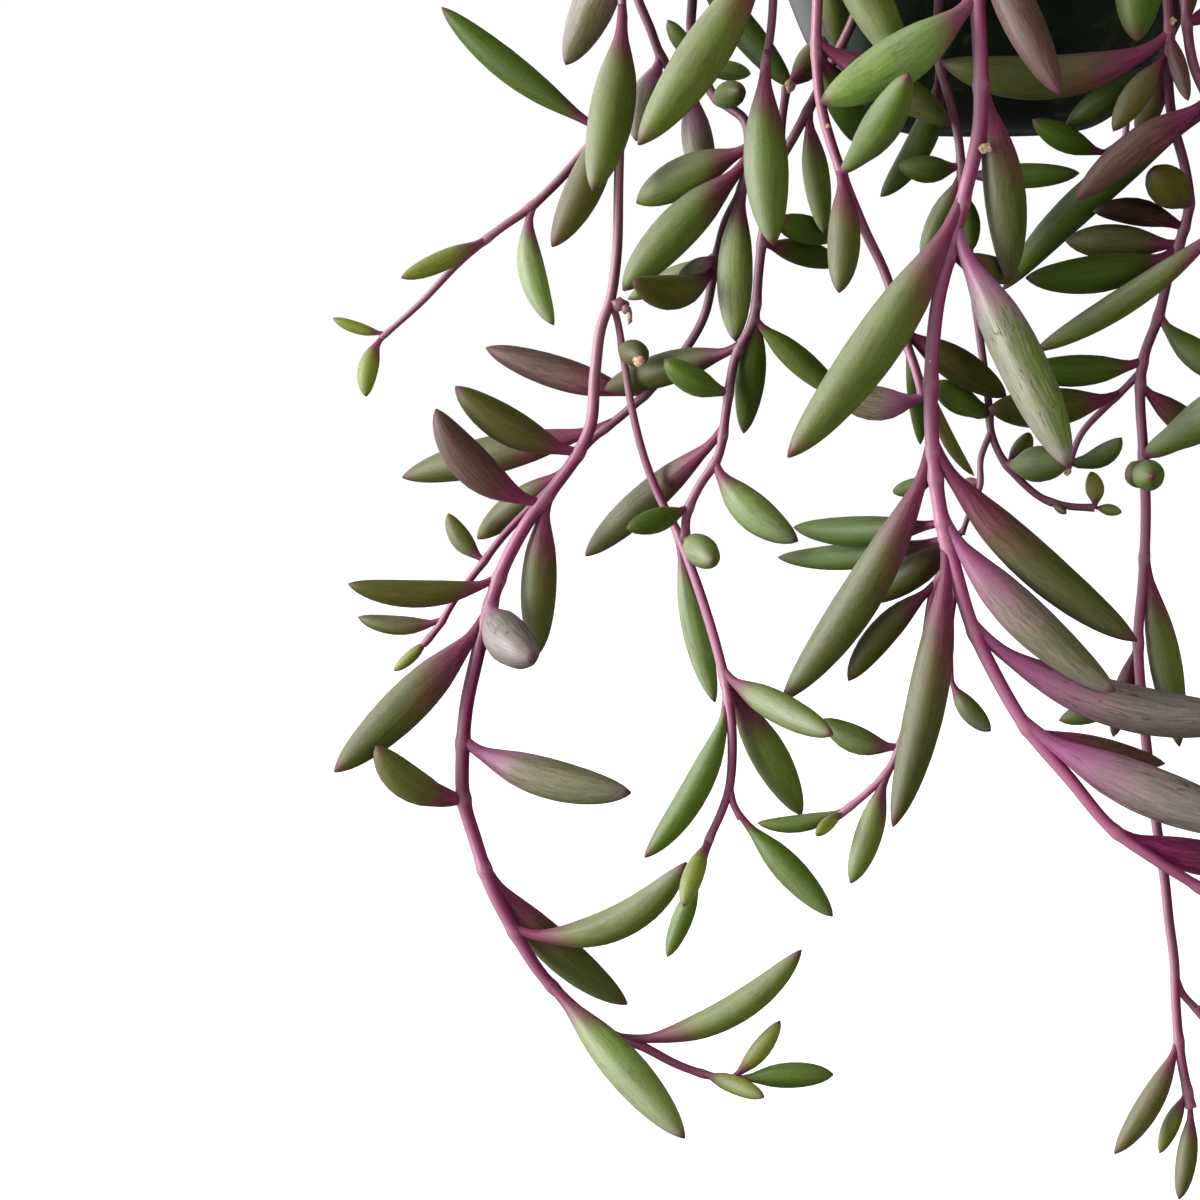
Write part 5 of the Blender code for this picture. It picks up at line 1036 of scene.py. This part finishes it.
def facing_light(out):
    """1 where the way out faces the light, 0 from square to it on."""
    return np.clip(out @ (LIGHT_WAY / np.linalg.norm(LIGHT_WAY)), 0, 1)


def eased(values, low, high):
    part = np.clip((values - low) / (high - low), 0, 1)
    return part * part * (3 - 2 * part)


# By tone letter: the body's colour; how deep the reds, how weathered and how speckled; where the
# neck's flush ends; the flush all over; and how thick the bloom is, which also paints the highlight on the
# lit side
TONES = {
    "g": ("#5F7024", 0.10, 0.25, 0.0, 0.50, 0.03, 0.34),
    "s": ("#566C16", 0.15, 0.10, 0.0, 0.20, 0.00, 0.26),
    "c": ("#768C40", -0.10, 0.40, 0.0, 0.46, 0.02, 0.46),
    "k": ("#6C8038", -0.70, 0.80, 0.0, 0.70, 0.05, 0.50),
    "m": ("#50581E", 0.25, 0.35, 0.0, 0.74, 0.06, 0.24),
    "d": ("#42580E", 0.40, 0.05, 0.0, 0.34, 0.00, 0.05),
    "n": ("#484C0A", 0.50, 0.10, 0.0, 0.48, 0.08, 0.12),
    "o": ("#5A5C22", 0.20, 0.25, 0.0, 0.54, 0.10, 0.24),
    "p": ("#503E32", 0.25, 0.55, 0.0, 0.74, 0.26, 0.24),
    "b": ("#241404", 1.00, 0.00, 0.0, 0.60, 0.20, 0.06),
    "v": ("#66683E", -0.50, 0.50, 0.0, 0.80, 0.06, 0.40),
    "w": ("#6E685E", -0.50, 0.85, 0.0, 0.78, 0.10, 0.38),
    "r": ("#5E1034", 0.20, 0.10, 0.0, 1.40, 0.90, 0.26),
    "y": ("#7C842A", 0.10, 0.00, 0.4, 0.50, 0.05, 0.26),
}
# How dark and how dull the bark of a stem is at its top, then how dark and how dull low down; the darkness of
# the stems under and behind the others partly stands for painted shade.
BARKS = {
    "stem_front": (0.0, 0.1, 0.0, 0.0),
    "stem_left": (0.0, 0.8, 0.35, 0.0),
    "stem_front_left": (0.1, 0.3, 0.1, 0.2),
    "stem_left_inner": (0.2, 0.3, 0.2, 0.3),
    "stem_left_short": (0.2, 0.7, 0.2, 0.7),
    "stem_left_behind": (0.7, 0.7, 0.3, 0.1),
    "stem_under": (0.6, 0.5, 0.6, 0.5),
    "stem_under_left": (0.65, 0.6, 0.4, 0.2),
    "stem_right_front": (0.6, 0.3, 0.15, 0.3),
    "stem_right_edge": (0.4, 0.3, 0.4, 0.3),
}
USUAL_BARK = (0.3, 0.3, 0.3, 0.3)
# Heights between which the look of the top goes over into the look low down
DULL_FROM, DULL_TO = -40.0, -56.0

# Leaves: the share of the length that peels off the stem and the most it moves, in mm; the neck's
# part of the stem's radius; how much fuller the foot is on a leaf that turns back up its stem;
# and the length, in mm, from which a leaf has more sides
WIRY_NECK, MOST_PEEL = 0.13, 2.4
NECK_PART = 0.92
FULL_FOOT = 0.45
LONG_LEAF, LONG_SIDES, SHORT_SIDES = 23, 26, 18
# Stems: sides, how far from a root its joint reaches, in mm, and how much it swells there
STEM_SIDES = 14
JOINT_REACH, JOINT_SWELL = 0.75, 0.20


def leaf_rings(leaf):
    """Stations along a leaf, closer at both ends."""
    count = int(np.clip(leaf.length * 0.8, 12, 30))
    even = np.linspace(0, 1, count)
    return even * 0.5 + (0.5 - 0.5 * np.cos(even * math.pi)) * 0.5


def full_shape(ts):
    """The leaf's width along it, as the solids have it but rounded between their stations."""
    fine = np.linspace(0, 1, 201)
    wide = np.interp(fine, SHAPE_AT, SHAPE_IS) + 0.03 * np.exp(-((fine - 0.93) / 0.07) ** 2)
    soft = np.convolve(np.pad(wide, 6, mode="edge"), np.ones(13) / 13, mode="valid")
    mix = np.clip((1 - fine) / 0.06, 0, 1)
    return np.interp(ts, fine, soft * mix + wide * (1 - mix))


def add_leaf(skin, leaf, ahead, stem_radius, dice):
    """One leaf: peeled off its stem, waxy, wrinkled lengthwise, ending in a small prick."""
    ts = leaf_rings(leaf)
    sides = LONG_SIDES if leaf.length > LONG_LEAF else SHORT_SIDES
    line = leaf.line(ts)
    rising = leaf.line(np.array([0.0, 0.3]))
    rising = float(np.dot(rising[1] - rising[0], ahead) / np.linalg.norm(rising[1] - rising[0]))
    peel = np.clip(1 - ts / WIRY_NECK, 0, 1)[:, None] ** 2
    line = line - ahead * peel * min(MOST_PEEL, leaf.length * 0.07) * max(0.0, rising)
    sizes = leaf.radius * full_shape(ts)
    # A leaf that turns back up its stem sits on it with a fuller foot
    sizes = sizes + leaf.radius * FULL_FOOT * max(0.0, -rising) * np.exp(-((ts - 0.13) / 0.09) ** 2)
    neck = np.clip(1 - ts / (0.10 + 0.06 * min(0.0, rising)), 0, 1)
    sizes = sizes * (1 - neck) + np.minimum(sizes, stem_radius * NECK_PART) * neck
    body, deep, worn, speckled, neck_end, tinge, chalk_and_highlight = TONES[leaf.tone]
    turns = circle(sides)
    ridges = np.zeros((len(ts), sides))
    for waves, part in ((3, 0.5), (5, 0.9), (7, 0.8), (9, 0.6)):
        drift = dice.uniform(-2.0, 2.0)
        ridges += part * np.sin(waves * turns[None] + dice.uniform(0, 6.28) + drift * ts[:, None])
    depth = (0.006 + 0.028 * worn) * np.sin(np.clip(ts, 0, 1) * math.pi)[:, None] ** 0.6
    lumps = 1 + 0.02 * np.sin(ts * dice.uniform(5, 9) + dice.uniform(0, 6.28))
    sizes = (sizes * lumps)[:, None] * (1 + ridges * depth)
    verts, out, faces = tube(line, sizes)
    along = np.concatenate([np.repeat(ts, sides), [0.0, 1.0]])
    round_turns = np.concatenate([np.tile(turns, len(ts)), [0.0, 0.0]])
    lit = facing_light(out)
    neck_end = neck_end * dice.uniform(0.9, 1.1)
    # The flush reaches further along the side away from the light
    shade = np.clip(-(out @ LIGHT_WAY), -1, 1)
    flush = 1 - eased(along, 0.06, neck_end + 0.12 * shade)
    flush = np.maximum(flush, tinge * (0.7 + 0.6 * lit) + 0.08 * lit)
    flush = np.clip(flush + dice.uniform(0.15, 0.5) * eased(along, 0.88, 1.0), 0, 1)
    shift = np.array([dice.uniform(0, 90) for _ in range(3)])
    grain = np.stack([
        np.cos(round_turns) * leaf.radius, np.sin(round_turns) * leaf.radius, along * leaf.length,
    ], axis=1) + shift
    paler, greener = dice.uniform(0.88, 1.12), dice.uniform(0.96, 1.04)
    own = np.array(linear(body)[:3]) * paler * (1 / greener, greener, 1.0)
    # Painted highlight: the pale bloom is laid over the side that faces the light, on top of a little real
    # wax
    dust = chalk_and_highlight * lit ** 2.5 * (1 - (0.75 if deep > -0.2 else 0.35) * flush)
    tones = (deep, worn, speckled)
    skin.add(verts, faces, FLESH, grain=grain, body=own, tone=tones, flush=flush, bloom=dust, along=along)


def add_stem(skin, route, radii, stations, tone, dice):
    """One stem or branch: a satin rod, swollen and ringed where leaves join."""
    line = np.repeat(route, 2, axis=0)[:-1]
    line[1::2] = (route[1:] + route[:-1]) / 2
    sizes = np.interp(np.arange(len(line)) / 2, np.arange(len(radii)), radii)
    inner = line[1:-1] * 0.5 + (line[:-2] + line[2:]) * 0.25
    line = np.vstack([line[:1], inner, line[-1:]])
    joint = np.zeros(len(line))
    for root in stations:
        away = np.linalg.norm(line - root, axis=1)
        if away.min() < 2.0:
            joint = np.maximum(joint, np.exp(-(away / JOINT_REACH) ** 2))
    sizes = sizes * (1 + JOINT_SWELL * joint ** 0.5)
    sides = STEM_SIDES
    turns = circle(sides)
    wobble = 1 + 0.03 * np.sin(turns * 3 + dice.uniform(0, 6.28))[None] * np.ones((len(line), 1))
    verts, out, faces = tube(line, sizes[:, None] * wobble)
    gone = np.concatenate([[0], np.cumsum(np.linalg.norm(np.diff(line, axis=0), axis=1))])
    along = np.concatenate([np.repeat(gone, sides), [gone[0], gone[-1]]])
    round_turns = np.concatenate([np.tile(turns, len(line)), [0.0, 0.0]])
    shift = np.array([dice.uniform(0, 90) for _ in range(3)])
    grain = np.stack([np.cos(round_turns), np.sin(round_turns), along], axis=1) + shift
    rings = np.concatenate([np.repeat(joint, sides), [joint[0], joint[-1]]])
    # Painted highlight: pale bloom on the side that faces the light
    dust = 0.70 * facing_light(out) ** 1.6
    # Painted shade: the bark is darker on the side turned away from the light
    unlit = 0.40 * np.clip(-(out @ LIGHT_WAY), 0, 1)
    low = eased(-verts[:, 2], -DULL_FROM, -DULL_TO)
    deep = np.minimum(1, tone[0] + (tone[2] - tone[0]) * low + unlit)
    dull = tone[1] + (tone[3] - tone[1]) * low
    tones = np.stack([deep, dull, np.zeros(len(verts))], axis=1)
    skin.add(verts, faces, BARK, grain=grain, tone=tones, bloom=dust, joint=rings * 0.5)


def add_scar(skin, place, size, kind, dice):
    """A dried stub: a small lumpy crumb set into the stem."""
    verts, faces = ball(2)
    lumps = np.array([noise.noise(Vector(v * 1.7) + Vector((dice.uniform(0, 1), 0, 0))) for v in verts])
    verts = verts * (1 + 0.5 * lumps)[:, None] * np.array(size) + place
    skin.add(verts, faces, kind, grain=verts, tone=(0.3, 1.0, 0.0), bloom=0.15, joint=0.6)


def shown(name, node, verts, faces, materials, parts=None, marks=None):
    """A visible piece in the frame, from millimetre places, that stands for a node."""
    mesh = bpy.data.meshes.new(name)
    places = (np.asarray(verts, float) - (0, 0, HANG_HEIGHT)) * MM
    mesh.from_pydata(places.tolist(), [], faces)
    for material in materials:
        mesh.materials.append(material)
    if parts:
        mesh.polygons.foreach_set("material_index", parts)
    for mark, values in (marks or {}).items():
        vector = values.ndim == 2
        layer = mesh.attributes.new(mark, "FLOAT_VECTOR" if vector else "FLOAT", "POINT")
        flat = np.ascontiguousarray(values, np.float32).ravel()
        layer.data.foreach_set("vector" if vector else "value", flat)
    mesh.shade_smooth()
    made = placed(name, mesh)
    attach(made, "root")
    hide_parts(node)
    return made


def root_way(sprig, root):
    """Which way the stem grows where a leaf springs from it, and how thick it is there."""
    best = None
    for route, radii in sprig.branches:
        away = np.linalg.norm(route - root, axis=1)
        at = int(np.argmin(away))
        if best is None or away[at] < best[0]:
            way = route[min(at + 2, len(route) - 1)] - route[max(at - 2, 0)]
            best = (away[at], way / np.linalg.norm(way), radii[at])
    return best[1], best[2]


def leafy_piece(sprig, number, materials):
    """All of one leafy stem as one piece."""
    dice = random.Random(1000 + number)
    skin = Skin()
    roots = [leaf.root for leaf in sprig.leaves]
    bark = BARKS.get(sprig.name, USUAL_BARK)
    for route, radii in sprig.branches:
        add_stem(skin, route, radii, roots, bark, dice)
    for leaf in sprig.leaves:
        ahead, thick = root_way(sprig, leaf.root)
        add_leaf(skin, leaf, ahead, thick, dice)
    for node, x, z, near, size, kind in SCARS:
        if node == sprig.name:
            add_scar(skin, seen(x, z, near), size, kind, dice)
    marks = {name: np.concatenate(values) for name, values in skin.marks.items()}
    verts = np.vstack(skin.verts)
    return shown(
        sprig.name + "_leafy", sprig.name, verts, skin.faces, materials, skin.parts, marks,
    )


# Dried bits, and knots of bark: node, where seen, how near, half sizes in mm, and which it is
SCARS = [
    ("stem_front", -0.5, -2.6, 54.8, (1.0, 0.7, 0.8), DRY),
    ("stem_front", -9.4, -38.5, 54.7, (0.5, 0.4, 0.4), DRY),
    ("stem_front", -9.4, -41.6, 54.7, (0.45, 0.4, 0.35), DRY),
    ("stem_front_left", -27.0, 1.3, 46.8, (0.4, 0.3, 0.35), DRY),
    ("stem_under_left", -33.5, 8.0, 33.5, (0.9, 0.8, 1.1), DRY),
    ("stem_left", -62.6, -28.9, 23.4, (1.5, 1.3, 1.1), BARK),
    ("stem_left", -61.5, -29.7, 24.4, (0.8, 0.6, 0.8), BARK),
    ("stem_left", -60.9, -31.0, 24.4, (0.45, 0.4, 1.3), DRY),
    ("stem_left", -59.3, -38.6, 33.0, (1.0, 0.4, 0.9), DRY),
    ("stem_left", -90.2, -112.0, 30.6, (0.4, 0.4, 0.5), DRY),
    ("stem_right_front", 30.5, 18.5, 43.6, (0.7, 0.6, 0.7), DRY),
    ("stem_right_front", 14.0, -57.3, 36.6, (0.6, 0.5, 0.6), DRY),
]


def lathe(profile, sides, closed=True):
    """Verts and faces of a turned body from its profile of (radius, height)."""
    verts, faces = [], []
    count = len(profile)
    for k in range(sides):
        turn = 2 * math.pi * k / sides
        verts += [(r * math.cos(turn), r * math.sin(turn), z) for r, z in profile]
    for k in range(sides):
        nxt = (k + 1) % sides
        for i in range(count if closed else count - 1):
            j = (i + 1) % count
            faces.append((k * count + i, nxt * count + i, nxt * count + j, k * count + j))
    return np.array(verts), faces


def rounded(profile, step):
    """A profile of (radius, height) with smooth curves between its points."""
    flat = smooth_route([(r, 0.0, z) for r, z in profile], step)
    return [(p[0], p[2]) for p in flat]


def smoothed(piece, sharp):
    """Smooth shading that keeps edges over the angle sharp."""
    piece.data.shade_smooth()
    piece.data.set_sharp_from_angle(angle=math.radians(sharp))


def mend(piece, sharp):
    """Merges doubled verts, turns every face outward and keeps edges over the angle sharp."""
    shell = bmesh.new()
    shell.from_mesh(piece.data)
    bmesh.ops.remove_doubles(shell, verts=shell.verts, dist=1e-7)
    bmesh.ops.recalc_face_normals(shell, faces=shell.faces)
    shell.to_mesh(piece.data)
    shell.free()
    smoothed(piece, sharp)


def bored(piece, cutters):
    """The piece with the cutters taken out of it; the cutters are then removed."""
    for cutter in cutters:
        hole = piece.modifiers.new("Hole", "BOOLEAN")
        hole.operation, hole.object, hole.solver = "DIFFERENCE", cutter, "EXACT"
    ready = bpy.data.meshes.new_from_object(piece.evaluated_get(bpy.context.evaluated_depsgraph_get()))
    piece.modifiers.clear()
    piece.data = ready
    for cutter in cutters:
        bpy.data.objects.remove(cutter, do_unlink=True)


def drill(start, end, radius):
    """A round cutter between two places in mm."""
    verts, out, faces = tube(np.linspace(start, end, 4), np.full((4, 20), radius))
    mesh = bpy.data.meshes.new("drill")
    mesh.from_pydata(((verts - (0, 0, HANG_HEIGHT)) * MM).tolist(), [], faces)
    return placed("drill", mesh)


def pot_piece(look):
    """The glazed pot, one turned shell with its rounded rim, its drain hole and three eyes."""
    outside = [(DRAIN_RADIUS, 0.35), (DRAIN_RADIUS + 0.5, 0.0), (12.6, 0.0)]
    outside += rounded(POT_OUTSIDE[:-3], 1.2)[:-1]
    outside += [(48.9, 73.2), (49.4, 73.5), (50.0, 74.3), (50.15, 76.6), (50.0, 79.0)]
    outside += [(49.7, 79.6), (49.2, 80.0), (48.4, 80.15), (47.4, 80.0), (46.8, 79.4)]
    inside = rounded([(46.6, 79.0)] + list(reversed(POT_INSIDE)), 1.5)
    profile = outside + inside + [(DRAIN_RADIUS, 3.4), (DRAIN_RADIUS, 2.0)]
    verts, faces = lathe(profile, 144)
    pot = shown("pot_glazed", "pot", verts, faces, [look])
    mend(pot, 40)
    bored(pot, [
        drill(around(angle, 40.0, EYE_HEIGHT), around(angle, 56.0, EYE_HEIGHT), EYE_RADIUS)
        for angle in WIRE_ANGLES.values()
    ])
    smoothed(pot, 40)


def soil_piece(soil, white):
    """The soil's bumpy top with crumbs and perlite, on the body that fills the bowl."""
    # Humps 6 mm and 1.7 mm wide; a grain in 20 is perlite and a crumb in 16 is coarse
    dice = random.Random(77)
    inner = [(r - SOIL_GAP, z + 0.35) for r, z in POT_INSIDE[:-1]]
    wall = [(0.01, POT_INSIDE[0][1] + 0.35)] + rounded(inner, 3.0) + [(44.6, SOIL_TOP - 2.4)]
    top = [(r, SOIL_TOP - 0.6) for r in np.linspace(44.2, 0.01, 30)]
    verts, faces = lathe(wall + top, 96, closed=False)
    for i, (x, y, z) in enumerate(verts):
        if z > SOIL_TOP - 1.0:
            hump = noise.noise(Vector((x, y, 3.0)) * 0.16) * 0.9
            hump += noise.noise(Vector((x, y, 9.0)) * 0.6) * 0.5
            verts[i, 2] = z + hump * min(1.0, (45.0 - math.hypot(x, y)) / 3)
    ball_verts, ball_faces = ball(1)
    all_verts, count, parts = [verts], len(verts), [0] * len(faces)
    faces = list(faces)
    for _ in range(CRUMBS):
        out = 44.0 * math.sqrt(dice.random())
        turn = dice.uniform(0, 6.283)
        grain = dice.random() < 0.05
        size = dice.uniform(0.5, 1.1) if not grain else dice.uniform(0.8, 1.5)
        if dice.random() < 0.06 and not grain:
            size = dice.uniform(1.2, 2.2)
        scale = np.array([size * dice.uniform(*part) for part in ((0.7, 1.4), (0.7, 1.4), (0.5, 0.9))])
        spin = dice.uniform(0, 6.283)
        c, s = math.cos(spin), math.sin(spin)
        lumps = np.array([dice.uniform(-0.25, 0.25) for _ in ball_verts])
        x, y, z = (ball_verts * (1 + lumps)[:, None] * scale).T
        shape = np.stack([x * c - y * s, x * s + y * c, z], axis=1)
        shape += (out * math.cos(turn), out * math.sin(turn), SOIL_TOP - 0.4 + dice.uniform(-0.3, 0.3))
        all_verts.append(shape)
        faces += moved_on(ball_faces, count)
        parts += [1 if grain else 0] * len(ball_faces)
        count += len(shape)
    made = shown("soil_crumbly", "soil", np.vstack(all_verts), faces, [soil, white], parts)
    made.data.set_sharp_from_angle(angle=math.radians(50))


def rod(name, node, line, radius, look, sides=16):
    """A round wire along a line."""
    verts, out, faces = tube(line, np.full((len(line), sides), radius))
    made = shown(name, node, verts, faces, [look])
    made.data.set_sharp_from_angle(angle=math.radians(60))


def hook_piece(look):
    """The turned collar and the round hook, one piece."""
    low, high, wide = COLLAR_LOW, COLLAR_HIGH, COLLAR_RADIUS
    profile = [
        (0.01, low), (4.2, low), (4.7, low + 0.3), (wide, low + 0.9), (wide, low + 4.6), (4.7, low + 4.9),
        (4.7, low + 5.5), (wide, low + 5.8), (wide, high - 2.6), (4.8, high - 2.0), (3.6, high - 0.8),
        (2.4, high - 0.45), (0.01, high - 0.3),
    ]
    verts, faces = lathe(profile, 48, closed=False)
    centre = HANG_HEIGHT - HOOK_BEND + HOOK_RADIUS
    points = [(0, 0, COLLAR_LOW + 9.0), (0, 0, COLLAR_HIGH + 1.5), (0, 0, centre - HOOK_BEND - 1.2)]
    for turn in range(232, -41, -16):
        angle = math.radians(turn)
        points.append((HOOK_BEND * math.cos(angle), 0, centre + HOOK_BEND * math.sin(angle)))
    line = smooth_route(points, 0.6)
    sizes = np.full((len(line), 20), HOOK_RADIUS)
    sizes[-1], sizes[-2] = HOOK_RADIUS * 0.72, HOOK_RADIUS * 0.93
    arm_verts, out, arm_faces = tube(line, sizes)
    faces += moved_on(arm_faces, len(verts))
    made = shown("hook_turned", "hook", np.vstack([verts, arm_verts]), faces, [look])
    mend(made, 35)


# The stage

# Soft lights: name, place and size in metres, power in watts, where it's aimed, and whether
# gloss shows it
LIGHTS = [
    ("window_left", (-1.0, -0.46, -0.15), (0.5, 1.0), 18.0, (-0.03, 0.0, -0.33), True),
    ("fill_right", (0.9, -1.6, -0.25), (1.4, 1.4), 12.0, (-0.03, 0.0, -0.33), False),
]
# The camera's lens in mm, and where it's aimed in the plane of the pot's axis
LENS = 105.0
AIM_X, AIM_Z = -66.0, -79.8425


def studio():
    """A pale floor, a white surround, one tall soft light from the left and a weak fill."""
    bpy.context.scene.view_settings.view_transform = "Standard"
    bpy.ops.mesh.primitive_circle_add(vertices=96, radius=6.0, fill_type="NGON", location=(0, 0, -0.75))
    floor = bpy.context.object
    floor.name = "pale_floor"
    pale, tree, shader = blank(
        "matt_white_painted_board",
        Base_Color=linear("#F4F4F2"), Roughness=0.9, Emission_Color=(1, 1, 1, 1), Emission_Strength=0.9,
    )
    # Matt paint: grain 1 mm, only in the relief
    place = add(tree, "TexCoord", {})["Object"]
    grit = add(tree, "TexNoise", {"Vector": place, "Scale": 1000.0, "Detail": 2.0})[0]
    bump = add(tree, "Bump", {"Height": grit, "Strength": 0.1, "Distance": 0.0001})[0]
    tree.links.new(bump, shader.inputs["Normal"])
    floor.data.materials.append(pale)
    floor.visible_diffuse = False
    floor.visible_glossy = False

    world = bpy.data.worlds.new("white_studio")
    world.use_nodes = True
    bpy.context.scene.world = world
    tree = world.node_tree
    back = tree.nodes["Background"]
    rays = add(tree, "LightPath", {})
    # The room is bright above and to the left, and dim below
    way = add(tree, "TexCoord", {})["Generated"]
    slant = add(tree, "VectorMath", {0: way, 1: (-0.82, 0.35, 0.38)}, operation="DOT_PRODUCT")["Value"]
    room = add(tree, "MapRange", {"Value": slant, 1: 0.1, 2: 0.9, 3: 0.30, 4: 0.9})[0]
    # Gloss gleams with the white wall behind on the left, and with little else
    gleam = add(tree, "MapRange", {"Value": slant, 1: 0.45, 2: 0.85, 3: 0.03, 4: 1.3})[0]
    room = add(tree, "Mix", {0: rays["Is Glossy Ray"], 2: room, 3: gleam})[0]
    strength = add(tree, "Mix", {0: rays["Is Camera Ray"], 2: room, 3: 1.02})[0]
    back.inputs["Color"].default_value = (1, 1, 1, 1)
    tree.links.new(strength, back.inputs["Strength"])

    for name, place, size, power, aim, gleams in LIGHTS:
        lamp = bpy.data.lights.new(name, "AREA")
        lamp.shape, lamp.size, lamp.size_y, lamp.energy = "RECTANGLE", size[0], size[1], power
        holder = placed(name, lamp)
        holder.location = place
        holder.rotation_euler = (Vector(aim) - Vector(place)).to_track_quat("-Z", "Y").to_euler()
        holder.visible_glossy = gleams


def place_camera():
    """The photo's viewpoint: 600 mm in front of the pot's axis, a little below its foot."""
    lens = bpy.data.cameras.new("camera")
    lens.sensor_width, lens.lens = 36.0, LENS
    lens.clip_start = 0.01
    camera = placed("camera", lens)
    eye = Vector((0.0, -VIEW_DISTANCE, VIEW_HEIGHT - HANG_HEIGHT)) * MM
    aim = Vector((AIM_X, 0.0, AIM_Z - HANG_HEIGHT)) * MM
    camera.location = eye
    camera.rotation_euler = (aim - eye).to_track_quat("-Z", "Y").to_euler()
    bpy.context.scene.camera = camera


plant = grow_plant()
flesh = [leaf_skin(), stem_skin(), dry_husk()]
for number, sprig in enumerate(plant):
    leafy_piece(sprig, number, flesh)
pot_piece(bottle_glaze())
soil_piece(potting_soil(), perlite())
steel = drawn_steel()
for wire_name, wire_angle in WIRE_ANGLES.items():
    rod(wire_name + "_drawn", wire_name, wire_route(wire_angle), WIRE_RADIUS, steel)
hook_piece(steel)
studio()
place_camera()
